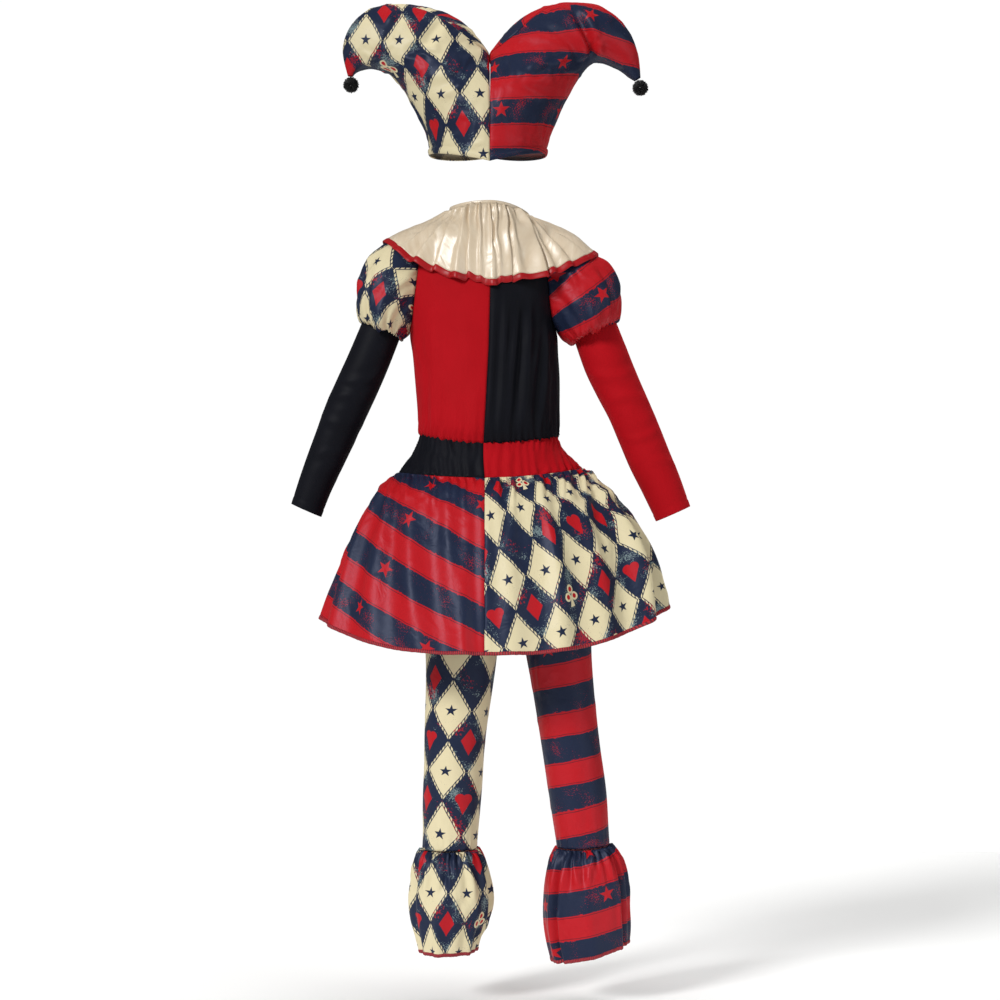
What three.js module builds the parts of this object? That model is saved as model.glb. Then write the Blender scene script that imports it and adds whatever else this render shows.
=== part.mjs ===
// A child's harlequin costume, filled out as if worn: a two-horned jester hat, a ruffled collar,
// a quartered red and black bodice with puffed sleeves, a hip yoke, a gathered skirt, and
// trousers that end in gathered flounces. Millimetres, +Z up. The origin is the middle of the
// neck opening. +Y is the wearer's front and -X the wearer's left, so the back faces -Y.
import * as THREE from "three";
import { mergeVertices } from "three/addons/utils/BufferGeometryUtils.js";

// Driving dimensions.
const clothThickness = 1.6;
const hatThickness = 2.4;
const bindingThickness = 2.2;
const seamGap = 0.4;
const bindingWidth = 9;
const neckBindingHeight = 6;
const collarRaise = 3;
const pompomRadius = 12.7;
const pompomCore = 9.2;
const pompoms = { left: { x: -201.5, z: 188.9 }, right: { x: 218, z: 184.5 } };
const sleeveLean = 24;

const neck = { x: -1, halfWidth: 57, halfDepth: 52, backZ: 10, frontZ: -26, leftZ: 4, rightZ: -5 };
const collarEdge = {
  x: 2, left: 151, right: 150, back: 106, front: 110,
  leftZ: -31, rightZ: -46, backZ: -87, frontZ: -104, lift: 12,
};

// The bodice from the waist up to the underarm, a row for each section. left, seam and right are
// X at the sides and at the centre seam, with their own heights; back and front are depths.
const torsoRows = [
  { left: -99, leftZ: -315, seam: -9, seamZ: -329, right: 96, rightZ: -319, back: 73, front: 76 },
  { left: -103, leftZ: -300, seam: -8, seamZ: -312, right: 100, rightZ: -303, back: 82, front: 85 },
  { left: -106, leftZ: -270, seam: -6, seamZ: -278, right: 101, rightZ: -272, back: 84, front: 88 },
  { left: -109, leftZ: -236, seam: -4, seamZ: -238, right: 101, rightZ: -236, back: 83, front: 88 },
  { left: -112, leftZ: -203, seam: -2, seamZ: -200, right: 99, rightZ: -203, back: 83, front: 88 },
];
// The bodice above the underarm. climb is how far round the armhole the row's outer end lies, in
// degrees from the underarm, and arc is how much of a half ellipse the row bends through.
const chestRows = [
  { climb: 0, seam: -1, seamZ: -168, back: 83, front: 88, arc: 90 },
  { climb: 40, seam: 0, seamZ: -135, back: 83, front: 88, arc: 78 },
  { climb: 80, seam: 1, seamZ: -98, back: 81, front: 85, arc: 68 },
  { climb: 120, seam: 2, seamZ: -58, back: 76, front: 76, arc: 62 },
  { climb: 150, seam: 2, seamZ: -22, back: 64, front: 66, arc: 60 },
];
const frontNeckDrop = 26;

const armholes = {
  left: { side: -1, topX: -97, topZ: -14, lowX: -116, lowZ: -174, halfDepth: 45, hollow: 2 },
  right: { side: 1, topX: 90, topZ: -14, lowX: 97, lowZ: -172, halfDepth: 45, hollow: 11 },
};

// The puffed sleeves beyond the armhole. out is the outer profile over the shoulder, in the
// profile along the underarm, depth half the thickness, gather the depth of the gathers.
const puffRows = {
  left: [
    { outX: -127, outZ: -26, inX: -119, inZ: -175, depth: 56, gather: 2.2 },
    { outX: -153, outZ: -41, inX: -122, inZ: -177, depth: 62, gather: 1.2 },
    { outX: -173, outZ: -63, inX: -125, inZ: -179, depth: 65, gather: 0.8 },
    { outX: -187, outZ: -93, inX: -127, inZ: -180, depth: 65, gather: 1.0 },
    { outX: -193, outZ: -123, inX: -128, inZ: -181, depth: 61, gather: 1.8 },
    { outX: -192, outZ: -145, inX: -128, inZ: -181, depth: 52, gather: 2.8 },
    { outX: -188, outZ: -154, inX: -128, inZ: -179, depth: 38, gather: 2.2 },
  ],
  right: [
    { outX: 121, outZ: -31, inX: 100, inZ: -175, depth: 56, gather: 2.2 },
    { outX: 147, outZ: -53, inX: 104, inZ: -180, depth: 62, gather: 1.2 },
    { outX: 169, outZ: -70, inX: 108, inZ: -183, depth: 65, gather: 0.8 },
    { outX: 183, outZ: -92, inX: 112, inZ: -185, depth: 66, gather: 1.0 },
    { outX: 190, outZ: -117, inX: 115, inZ: -187, depth: 63, gather: 1.8 },
    { outX: 190, outZ: -138, inX: 118, inZ: -188, depth: 55, gather: 2.8 },
    { outX: 186, outZ: -153, inX: 120, inZ: -186, depth: 42, gather: 2.2 },
  ],
};

// The plain lower sleeves: centres of the rings down the arm.
const sleeveRows = {
  left: [
    { x: -156, y: 0, z: -162, radius: 29.7 },
    { x: -177, y: 2, z: -213, radius: 30.6 },
    { x: -195, y: 4, z: -253, radius: 31 },
    { x: -211, y: 6, z: -288, radius: 30.6 },
    { x: -226, y: 9, z: -324, radius: 28.8 },
    { x: -241, y: 12, z: -359, radius: 27 },
    { x: -255, y: 14, z: -393, radius: 25 },
    { x: -267.5, y: 16, z: -428, radius: 23.6 },
  ],
  right: [
    { x: 151, y: 0, z: -164, radius: 33 },
    { x: 169, y: 2, z: -212, radius: 34.2 },
    { x: 185, y: 4, z: -248, radius: 33 },
    { x: 202, y: 6, z: -283, radius: 31.6 },
    { x: 217, y: 9, z: -318, radius: 31.6 },
    { x: 232, y: 12, z: -354, radius: 31.2 },
    { x: 249, y: 14, z: -391, radius: 29.6 },
    { x: 266.5, y: 16, z: -433, radius: 27 },
  ],
};

const yokeRows = [
  { left: -99, leftZ: -315, seam: -9, seamZ: -329, right: 96, rightZ: -319, back: 73, front: 76 },
  { left: -112, leftZ: -345, seam: -9, seamZ: -354, right: 108, rightZ: -342, back: 86, front: 86 },
  { left: -132, leftZ: -373, seam: -7, seamZ: -381, right: 134, rightZ: -367, back: 98, front: 98 },
];
const skirtRows = [
  { left: -132, leftZ: -373, seam: -7, seamZ: -381, right: 134, rightZ: -367, back: 98, front: 98 },
  { left: -157, leftZ: -392, seam: -7, seamZ: -400, right: 155, rightZ: -381, back: 121, front: 119 },
  { left: -173, leftZ: -416, seam: -7, seamZ: -430, right: 177, rightZ: -405, back: 139, front: 135 },
  { left: -190, leftZ: -449, seam: -7, seamZ: -471, right: 202, rightZ: -437, back: 155, front: 151 },
  { left: -206, leftZ: -484, seam: -7, seamZ: -512, right: 223, rightZ: -472, back: 169, front: 165 },
  { left: -221, leftZ: -520, seam: -7, seamZ: -552, right: 239, rightZ: -504, back: 180, front: 176 },
  { left: -235, leftZ: -553, seam: -7, seamZ: -591, right: 250, rightZ: -533, back: 188, front: 184 },
  { left: -246, leftZ: -583, seam: -7, seamZ: -627, right: 259, rightZ: -563, back: 194, front: 190 },
];
// The skirt's large folds, a row for each: where it lies in degrees round from the centre seam,
// how far it stands out at the hem, and how wide it is. The front uses the same rows, swapped.
const skirtFolds = {
  left: [
    { at: 9, height: 8, spread: 9 },
    { at: 24, height: 11, spread: 8 },
    { at: 40, height: 7, spread: 7 },
    { at: 54, height: 12, spread: 8 },
    { at: 71, height: 8, spread: 8 },
    { at: 84, height: 6, spread: 5 },
  ],
  right: [
    { at: 7, height: 6, spread: 6 },
    { at: 19, height: 11, spread: 7 },
    { at: 33, height: 8, spread: 7 },
    { at: 48, height: 13, spread: 8 },
    { at: 66, height: 9, spread: 8 },
    { at: 82, height: 10, spread: 7 },
  ],
};
const skirtFoldTrough = 0.45;
const skirtFoldGrowth = 1.2;
const skirtGathers = { perQuarter: 6, depth: 2.6, start: 0.12, reach: 0.5 };
const skirtSeamHold = 4;

// Each trouser half: inner is the centre seam and then the inseam, outer the outside of the leg.
// start turns the section from a half ellipse (0) at the hips to a whole one (-90) on the leg.
const trouserRows = {
  left: [
    { inX: -2, inZ: -412, outX: -126, outZ: -404, depth: 95, start: -3 },
    { inX: 8, inZ: -446, outX: -123, outZ: -440, depth: 92, start: -14 },
    { inX: 18, inZ: -478, outX: -117, outZ: -474, depth: 85, start: -38 },
    { inX: 23, inZ: -502, outX: -111, outZ: -502, depth: 76, start: -66 },
    { inX: 25, inZ: -516, outX: -107, outZ: -522, depth: 70, start: -90 },
    { inX: 17, inZ: -560, outX: -99, outZ: -564, depth: 61, start: -90 },
    { inX: 9, inZ: -650, outX: -93, outZ: -652, depth: 53, start: -90 },
    { inX: -6, inZ: -756, outX: -95, outZ: -758, depth: 46, start: -90 },
    { inX: -12, inZ: -840, outX: -96.5, outZ: -841, depth: 43, start: -90 },
    { inX: -19, inZ: -917, outX: -97.5, outZ: -918, depth: 40, start: -90 },
  ],
  right: [
    { inX: -2, inZ: -412, outX: 142, outZ: -398, depth: 95, start: -3 },
    { inX: 8, inZ: -446, outX: 147, outZ: -438, depth: 92, start: -14 },
    { inX: 18, inZ: -478, outX: 150, outZ: -474, depth: 85, start: -38 },
    { inX: 23, inZ: -502, outX: 150, outZ: -502, depth: 76, start: -66 },
    { inX: 25, inZ: -516, outX: 149, outZ: -522, depth: 70, start: -90 },
    { inX: 38, inZ: -560, outX: 147, outZ: -564, depth: 61, start: -90 },
    { inX: 55, inZ: -650, outX: 148, outZ: -650, depth: 51, start: -90 },
    { inX: 72.5, inZ: -756, outX: 158, outZ: -756, depth: 45, start: -90 },
    { inX: 85, inZ: -840, outX: 169, outZ: -838, depth: 42, start: -90 },
    { inX: 97, inZ: -916, outX: 172.5, outZ: -912, depth: 40, start: -90 },
  ],
};

// The flounces sewn to the trouser ends.
const flounceRows = {
  left: [
    { inX: -19, inZ: -917, outX: -97.5, outZ: -918, backZ: -919, depth: 40, gather: 0 },
    { inX: -8, inZ: -931, outX: -108, outZ: -931, backZ: -932, depth: 50, gather: 2.6 },
    { inX: 1, inZ: -958, outX: -112.5, outZ: -957, backZ: -959, depth: 57, gather: 2.8 },
    { inX: 5, inZ: -989, outX: -116, outZ: -988, backZ: -990, depth: 60, gather: 2.6 },
    { inX: 0, inZ: -1016, outX: -113, outZ: -1017, backZ: -1018, depth: 58, gather: 2.6 },
    { inX: -12, inZ: -1042, outX: -106, outZ: -1043, backZ: -1044, depth: 54, gather: 2.8 },
    { inX: -18, inZ: -1064, outX: -101, outZ: -1067, backZ: -1067, depth: 51, gather: 3 },
  ],
  right: [
    { inX: 97, inZ: -916, outX: 172.5, outZ: -912, backZ: -916, depth: 40, gather: 0 },
    { inX: 87, inZ: -932, outX: 187, outZ: -926, backZ: -930, depth: 50, gather: 2.6 },
    { inX: 80, inZ: -960, outX: 195, outZ: -950, backZ: -957, depth: 58, gather: 2.8 },
    { inX: 77, inZ: -992, outX: 198, outZ: -976, backZ: -987, depth: 61, gather: 2.6 },
    { inX: 77, inZ: -1022, outX: 199, outZ: -1002, backZ: -1015, depth: 61, gather: 2.8 },
    { inX: 81, inZ: -1051, outX: 200, outZ: -1027, backZ: -1043, depth: 60, gather: 3 },
    { inX: 88, inZ: -1079, outX: 199, outZ: -1053, backZ: -1070, depth: 58, gather: 3.2 },
  ],
};
const flounceGathers = 12;

// The hat's horns: in is the centre seam and then the top seam out to the tip, out the seam up
// from the ear and under the horn. start works as on the trousers, and frontRaise lifts the rim
// over the face.
const hornRows = {
  left: [
    { inX: 0, inZ: 67, outX: -87, outZ: 86, depth: 96, start: 0, frontRaise: 28 },
    { inX: 0, inZ: 103, outX: -93, outZ: 117, depth: 96, start: -3, frontRaise: 14 },
    { inX: 0, inZ: 143, outX: -104, outZ: 141, depth: 94, start: -10 },
    { inX: 0, inZ: 172, outX: -115, outZ: 162, depth: 90, start: -23 },
    { inX: 0, inZ: 198, outX: -125, outZ: 180, depth: 83, start: -43 },
    { inX: 0, inZ: 218, outX: -135, outZ: 193, depth: 76, start: -66 },
    { inX: -2, inZ: 234, outX: -147, outZ: 205, depth: 68, start: -90 },
    { inX: -19, inZ: 259, outX: -160, outZ: 210, depth: 61, start: -90 },
    { inX: -48, inZ: 285, outX: -172, outZ: 212.5, depth: 53, start: -90 },
    { inX: -90, inZ: 301, outX: -182, outZ: 212, depth: 45, start: -90 },
    { inX: -136, inZ: 306, outX: -188, outZ: 210, depth: 37, start: -90 },
    { inX: -176, inZ: 298, outX: -191, outZ: 208, depth: 29, start: -90 },
    { inX: -203, inZ: 273, outX: -194, outZ: 206, depth: 21, start: -90 },
    { inX: -214, inZ: 240, outX: -196, outZ: 204, depth: 14, start: -90 },
    { inX: -207, inZ: 202, outX: -198, outZ: 201, depth: 6, start: -90 },
  ],
  right: [
    { inX: 0, inZ: 67, outX: 81, outZ: 86, depth: 96, start: 0, frontRaise: 28 },
    { inX: 0, inZ: 103, outX: 87, outZ: 113, depth: 96, start: -3, frontRaise: 14 },
    { inX: 0, inZ: 143, outX: 98, outZ: 139, depth: 94, start: -10 },
    { inX: 0, inZ: 172, outX: 109, outZ: 163, depth: 90, start: -23 },
    { inX: 0, inZ: 198, outX: 120, outZ: 184, depth: 83, start: -43 },
    { inX: 0, inZ: 218, outX: 131, outZ: 201, depth: 76, start: -66 },
    { inX: 0, inZ: 234, outX: 142, outZ: 215, depth: 68, start: -90 },
    { inX: 20, inZ: 261, outX: 153, outZ: 222, depth: 61, start: -90 },
    { inX: 50, inZ: 288, outX: 162, outZ: 221.5, depth: 53, start: -90 },
    { inX: 88, inZ: 305, outX: 171, outZ: 218, depth: 45, start: -90 },
    { inX: 133, inZ: 308, outX: 179, outZ: 214, depth: 38, start: -90 },
    { inX: 172, inZ: 296, outX: 187, outZ: 210, depth: 30, start: -90 },
    { inX: 199, inZ: 270, outX: 194, outZ: 205, depth: 22, start: -90 },
    { inX: 214, inZ: 237, outX: 201, outZ: 199, depth: 14, start: -90 },
    { inX: 219, inZ: 200, outX: 209, outZ: 194, depth: 6, start: -90 },
  ],
};

// How finely each kind of piece is divided, across and along.
const cells = {
  hat: { across: 6 },
  collar: { across: 72, along: 5 },
  neckBinding: { across: 24 },
  bodice: { across: 12 },
  puff: { across: 36 },
  sleeve: { across: 16 },
  yoke: { across: 9, along: 2 },
  skirt: { across: 22, along: 7 },
  trouser: { across: 18 },
  flounce: { across: 36, along: 6 },
};
const collarGathers = { count: 18, height: 1.7, reach: 0.75, start: 0.1 };
const collarFolds = {
  sideHeight: 1.5, endHeight: 6.5, growth: 1.5,
  waves: [{ count: 9, height: 0.75, turn: 0.03 }, { count: 5, height: 0.35, turn: 0.1 }],
};
const puffGathers = 9;
const puffUnderarmFullness = 0.35;

const cloth = (color, roughness) => new THREE.MeshStandardMaterial({ color, roughness, metalness: 0 });
const materials = {
  redJersey: cloth(0xad1321, 0.75),
  blackJersey: cloth(0x1b1b20, 0.75),
  stripedSatin: cloth(0x8a2027, 0.42),
  diamondSatin: cloth(0xa39a7a, 0.42),
  creamSatin: cloth(0xdcc9ae, 0.3),
  redBinding: cloth(0xa3141b, 0.45),
  blackWool: cloth(0x151515, 0.95),
};

const axisX = new THREE.Vector3(1, 0, 0);
const axisY = new THREE.Vector3(0, 1, 0);
const axisZ = new THREE.Vector3(0, 0, 1);
const radians = THREE.MathUtils.degToRad;
const costume = new THREE.Group();

// The value of each named column part way down a table, on a smooth curve through its rows.
function sectionAt(rows, share) {
  const place = share * (rows.length - 1);
  const index = Math.min(Math.floor(place), rows.length - 2);
  const t = place - index;
  const section = {};
  for (const column of Object.keys(rows[index])) {
    const [a, b, c, d] = [-1, 0, 1, 2].map(
      (step) => rows[THREE.MathUtils.clamp(index + step, 0, rows.length - 1)][column],
    );
    section[column] = b + 0.5 * t * (c - a + t * (2 * a - 5 * b + 4 * c - d + t * (3 * (b - c) + d - a)));
  }
  return section;
}

// The outward direction of a grid of surface points at each point, from its neighbours.
function surfaceNormals(grid, closed) {
  return grid.map((row, j) =>
    row.map((_, i) => {
      const before = closed ? (i + row.length - 1) % row.length : Math.max(i - 1, 0);
      const after = closed ? (i + 1) % row.length : Math.min(i + 1, row.length - 1);
      const across = row[after].clone().sub(row[before]);
      const along = grid[Math.min(j + 1, grid.length - 1)][i].clone().sub(grid[Math.max(j - 1, 0)][i]);
      return across.cross(along).normalize();
    }),
  );
}

// One piece of cloth: surface(u, v) gives its outside, u across or around and v along. Each edge
// may give a shift away from its neighbour and either a square direction, which the cut edge is
// square to, or an inward direction for the wall there.
function clothPiece(name, material, shape) {
  const { across, along, closed = false, thickness = clothThickness, surface, edges = {} } = shape;
  const columns = closed ? across : across + 1;
  const grid = [];
  for (let j = 0; j <= along; j++) {
    grid.push(Array.from({ length: columns }, (_, i) => surface(i / across, j / along)));
  }
  const outwards = surfaceNormals(grid, closed);
  const places = grid.flat();
  const middle = places.reduce((sum, p) => sum.add(p), new THREE.Vector3()).divideScalar(places.length);
  const facing = outwards.flat().reduce((sum, out, k) => sum + places[k].clone().sub(middle).dot(out), 0);
  const sign = facing < 0 ? -1 : 1;
  const outer = [];
  const inner = [];
  grid.forEach((row, j) =>
    row.forEach((p, i) => {
      const inward = outwards[j][i].clone().multiplyScalar(-sign);
      const place = p.clone();
      const cuts = [];
      if (!closed && i === 0) cuts.push(edges.start?.(j / along));
      if (!closed && i === columns - 1) cuts.push(edges.end?.(j / along));
      if (j === 0) cuts.push(edges.first?.(i / across));
      if (j === along) cuts.push(edges.last?.(i / across));
      for (const cut of cuts.filter(Boolean)) {
        if (cut.shift) place.addScaledVector(cut.shift, seamGap / 2);
        if (cut.inward) inward.copy(cut.inward);
        if (cut.square) inward.addScaledVector(cut.square, -inward.dot(cut.square)).normalize();
      }
      outer.push(place);
      inner.push(place.clone().addScaledVector(inward, thickness));
    }),
  );

  const triangles = [];
  const count = outer.length;
  const at = (i, j, side) => side * count + j * columns + (closed ? i % columns : i);
  const quad = (a, b, c, d) => triangles.push(a, b, c, a, c, d);
  for (let j = 0; j < along; j++) {
    for (let i = 0; i < across; i++) {
      quad(at(i, j, 0), at(i + 1, j, 0), at(i + 1, j + 1, 0), at(i, j + 1, 0));
      quad(at(i, j + 1, 1), at(i + 1, j + 1, 1), at(i + 1, j, 1), at(i, j, 1));
    }
  }
  for (let i = 0; i < across; i++) {
    quad(at(i, 0, 1), at(i + 1, 0, 1), at(i + 1, 0, 0), at(i, 0, 0));
    quad(at(i, along, 0), at(i + 1, along, 0), at(i + 1, along, 1), at(i, along, 1));
  }
  for (let j = 0; !closed && j < along; j++) {
    quad(at(0, j, 0), at(0, j + 1, 0), at(0, j + 1, 1), at(0, j, 1));
    quad(at(across, j, 1), at(across, j + 1, 1), at(across, j + 1, 0), at(across, j, 0));
  }
  if (sign < 0) triangles.reverse();
  addMesh(name, material, [...outer, ...inner], triangles);
}

function addMesh(name, material, points, triangles) {
  const geometry = new THREE.BufferGeometry().setFromPoints(points).setIndex(triangles);
  geometry.computeVertexNormals();
  const mesh = new THREE.Mesh(geometry, material);
  mesh.name = name;
  costume.add(mesh);
}

const away = (axis, amount) => ({ shift: axis.clone().multiplyScalar(amount), square: axis });
const wave = (turns, share) => Math.cos(2 * Math.PI * turns * share);
const bump = (distance, spread) => Math.exp(-((distance / spread) ** 2));

// A point on a section of the bodice, yoke or skirt. The angle runs from the centre back (0)
// round the left (-90) or right (90) to the centre front (180).
function bodyPoint(section, angle, standOut = 0, rise = 2) {
  const side = Math.sin(radians(angle));
  const back = Math.cos(radians(angle));
  const halfWidth = side < 0 ? section.seam - section.left : section.right - section.seam;
  const sideZ = side < 0 ? section.leftZ : section.rightZ;
  const depth = back > 0 ? section.back : section.front;
  const out = new THREE.Vector3(side * depth, -back * halfWidth, 0).normalize();
  return new THREE.Vector3(
    section.seam + halfWidth * side,
    -depth * back,
    section.seamZ + (sideZ - section.seamZ) * Math.abs(side) ** rise,
  ).addScaledVector(out, standOut);
}

// A point on a section that hangs between an inner and an outer line, as on the horns and legs.
function lobePoint(section, angle) {
  const low = Math.sin(radians(section.start));
  const share = (Math.sin(radians(angle)) - low) / (1 - low);
  return new THREE.Vector3(
    section.inX + (section.outX - section.inX) * share,
    -section.depth * Math.cos(radians(angle)),
    section.inZ + (section.outZ - section.inZ) * share,
  );
}

const quarters = [
  { name: "back_left", side: -1, face: -1 },
  { name: "back_right", side: 1, face: -1 },
  { name: "front_left", side: -1, face: 1 },
  { name: "front_right", side: 1, face: 1 },
];
const quarterAngle = (quarter, u) =>
  quarter.face < 0 ? 90 * quarter.side * u : quarter.side * (180 - 90 * u);

function armholeCorner(hole, face, climb) {
  const turn = radians(climb);
  const lowShare = (1 + Math.cos(turn)) / 2;
  return new THREE.Vector3(
    hole.topX + (hole.lowX - hole.topX) * lowShare - hole.side * hole.hollow * Math.sin(turn),
    face * hole.halfDepth * Math.sin(turn),
    hole.topZ + (hole.lowZ - hole.topZ) * lowShare,
  );
}
// The armhole runs straight from one corner to the next, so that the puff meets the bodice all round.
function pointOnArmhole(hole, face, climb) {
  const climbs = [...chestRows.map((row) => row.climb), 180];
  const next = climbs.findIndex((end, k) => k > 0 && climb <= end);
  const share = (climb - climbs[next - 1]) / (climbs[next] - climbs[next - 1]);
  return armholeCorner(hole, face, climbs[next - 1]).lerp(armholeCorner(hole, face, climbs[next]), share);
}
const armholeInward = (hole, p) =>
  new THREE.Vector3((hole.topX + hole.lowX) / 2, 0, (hole.topZ + hole.lowZ) / 2).sub(p).setX(0).normalize();

function neckPoint(angle, grow = 0, raise = 0) {
  const side = Math.sin(radians(angle));
  const back = Math.cos(radians(angle));
  const sideZ = side < 0 ? neck.leftZ : neck.rightZ;
  const endZ = back > 0 ? neck.backZ : neck.frontZ;
  return new THREE.Vector3(
    neck.x + (neck.halfWidth + grow) * side,
    -(neck.halfDepth + grow) * back,
    sideZ * side ** 2 + endZ * back ** 2 + raise,
  );
}

// Bodice.
function bodicePoint(quarter, u, row) {
  const hole = quarter.side < 0 ? armholes.left : armholes.right;
  if (row < torsoRows.length) return bodyPoint(torsoRows[row], quarterAngle(quarter, u));
  if (row === torsoRows.length + chestRows.length) {
    const shoulder = pointOnArmhole(hole, quarter.face, 180);
    const neckEnd = neckPoint(90 * quarter.side);
    if (u <= 0.5) return neckPoint(quarterAngle(quarter, 2 * u));
    return neckEnd.lerp(shoulder, 2 * u - 1);
  }
  const section = chestRows[row - torsoRows.length];
  const arc = radians(section.arc);
  const outerEnd = pointOnArmhole(hole, quarter.face, section.climb);
  const drop = quarter.face > 0 ? frontNeckDrop * (row / (torsoRows.length + chestRows.length)) ** 3 : 0;
  const depth = quarter.face * (quarter.face < 0 ? section.back : section.front);
  const bend = (Math.cos(u * arc) - Math.cos(arc)) / (1 - Math.cos(arc));
  return new THREE.Vector3(
    section.seam + (outerEnd.x - section.seam) * (Math.sin(u * arc) / Math.sin(arc)),
    outerEnd.y + (depth - outerEnd.y) * bend,
    section.seamZ - drop + (outerEnd.z - section.seamZ + drop) * u ** 2,
  );
}

function makeBodice() {
  const lastRow = torsoRows.length + chestRows.length;
  const { across } = cells.bodice;
  for (const quarter of quarters) {
    const hole = quarter.side < 0 ? armholes.left : armholes.right;
    const material = quarter.side < 0 ? materials.redJersey : materials.blackJersey;
    clothPiece("bodice_" + quarter.name, material, {
      across,
      along: lastRow,
      surface: (u, v) => bodicePoint(quarter, u, Math.round(v * lastRow)),
      edges: {
        start: () => away(axisX, quarter.side),
        end: (v) => {
          const row = Math.round(v * lastRow);
          if (row < torsoRows.length) return away(axisY, quarter.face);
          const place = bodicePoint(quarter, 1, row);
          const atCorner = row === torsoRows.length || row === lastRow;
          const shift = new THREE.Vector3(-quarter.side, atCorner ? quarter.face : 0, 0);
          return { shift, inward: armholeInward(hole, place) };
        },
        first: () => away(axisZ, 1),
        last: (u) => {
          if (u < 0.5) return away(axisZ, -1);
          if (u > 0.5) return away(axisY, quarter.face);
          const shift = new THREE.Vector3(0, quarter.face, -1);
          return { shift, inward: new THREE.Vector3(-quarter.side, 0, -1).normalize() };
        },
      },
    });
  }
}

// Collar, with the binding round its edge and the narrow band at the neck.
function collarPoint(angle, share, beyond = 0) {
  const side = Math.sin(radians(angle));
  const back = Math.cos(radians(angle));
  const inside = neckPoint(angle, clothThickness, collarRaise);
  const edgeZ = side < 0 ? collarEdge.leftZ : collarEdge.rightZ;
  const endZ = back > 0 ? collarEdge.backZ : collarEdge.frontZ;
  const outside = new THREE.Vector3(
    collarEdge.x + (side < 0 ? collarEdge.left : collarEdge.right) * side,
    -(back > 0 ? collarEdge.back : collarEdge.front) * back,
    edgeZ + (endZ - edgeZ) * back ** 2,
  );
  const slope = outside.clone().sub(inside);
  const level = slope.clone().setZ(0);
  const up = new THREE.Vector3(0, 0, level.length()).addScaledVector(level.normalize(), -slope.z).normalize();
  const flare = (collarFolds.sideHeight + collarFolds.endHeight * back ** 2) * share ** collarFolds.growth;
  const folds = collarFolds.waves.reduce(
    (sum, fold) => sum + flare * fold.height * wave(fold.count, angle / 360 + fold.turn), 0);
  const { count, height, reach, start } = collarGathers;
  const fade = Math.max(0, 1 - share / reach) * Math.min(1, share / start);
  const gathers = height * wave(count, angle / 360) * fade;
  return inside
    .addScaledVector(slope, share + beyond / slope.length())
    .addScaledVector(up, collarEdge.lift * Math.sin(Math.PI * Math.min(share, 1)) + folds + gathers);
}

function makeCollar() {
  clothPiece("collar", materials.creamSatin, {
    ...cells.collar,
    closed: true,
    surface: (u, v) => collarPoint(360 * u, v),
    edges: { last: (u) => ({ shift: collarPoint(360 * u, 0.9).sub(collarPoint(360 * u, 1)).normalize() }) },
  });
  clothPiece("collar_binding", materials.redBinding, {
    across: cells.collar.across,
    along: 1,
    closed: true,
    thickness: bindingThickness,
    surface: (u, v) => collarPoint(360 * u, 1, v * bindingWidth),
    edges: { first: (u) => ({ shift: collarPoint(360 * u, 1).sub(collarPoint(360 * u, 0.9)).normalize() }) },
  });
  clothPiece("neck_binding", materials.creamSatin, {
    across: cells.neckBinding.across,
    along: 1,
    closed: true,
    surface: (u, v) => neckPoint(360 * u, 0, v * neckBindingHeight),
    edges: { first: () => away(axisZ, 1), last: () => away(axisZ, 1) },
  });
}

// Sleeves.
const leanCos = Math.cos(radians(sleeveLean));
const leanSin = Math.sin(radians(sleeveLean));
const sleeveOut = (side) => new THREE.Vector3(side * leanCos, 0, leanSin);
const sleeveDown = (side) => new THREE.Vector3(side * leanSin, 0, -leanCos);

function sleevePoint(row, side, turn) {
  return new THREE.Vector3(row.x, row.y, row.z)
    .addScaledVector(sleeveOut(side), row.radius * Math.cos(turn))
    .addScaledVector(axisY, row.radius * Math.sin(turn));
}

function puffPoint(rows, hole, sleeveTop, u, row) {
  const turn = 2 * Math.PI * u;
  if (row === 0) {
    const climb = 180 - Math.abs(((360 * u + 180) % 360) - 180);
    return pointOnArmhole(hole, Math.sign(Math.sin(turn)) || 1, climb);
  }
  if (row > rows.length) {
    return sleevePoint({ ...sleeveTop, radius: sleeveTop.radius + seamGap }, hole.side, turn);
  }
  const { outX, outZ, inX, inZ, depth, gather } = rows[row - 1];
  const fullness = THREE.MathUtils.lerp(puffUnderarmFullness, 1, (1 + Math.cos(turn)) / 2);
  const swell = gather * fullness * wave(puffGathers, u);
  const reach = new THREE.Vector3((outX - inX) / 2, 0, (outZ - inZ) / 2);
  return new THREE.Vector3((outX + inX) / 2, 0, (outZ + inZ) / 2)
    .addScaledVector(reach, Math.cos(turn) * (1 + swell / reach.length()))
    .addScaledVector(axisY, Math.sin(turn) * (depth + swell));
}

function makeSleeves() {
  for (const [name, hole] of Object.entries(armholes)) {
    const rows = puffRows[name];
    const along = rows.length + 1;
    const down = sleeveDown(hole.side);
    clothPiece("puff_" + name, name === "left" ? materials.diamondSatin : materials.stripedSatin, {
      across: cells.puff.across,
      along,
      closed: true,
      surface: (u, v) => puffPoint(rows, hole, sleeveRows[name][0], u, Math.round(v * along)),
      edges: {
        first: (u) => ({
          shift: axisX.clone().multiplyScalar(hole.side),
          inward: armholeInward(hole, puffPoint(rows, hole, null, u, 0)),
        }),
        last: () => away(down, -1),
      },
    });
    clothPiece("sleeve_" + name, name === "left" ? materials.blackJersey : materials.redJersey, {
      across: cells.sleeve.across,
      along: sleeveRows[name].length - 1,
      closed: true,
      surface: (u, v) => sleevePoint(sectionAt(sleeveRows[name], v), hole.side, 2 * Math.PI * u),
      edges: { first: () => away(down, 1), last: () => away(down, 1) },
    });
  }
}

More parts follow.
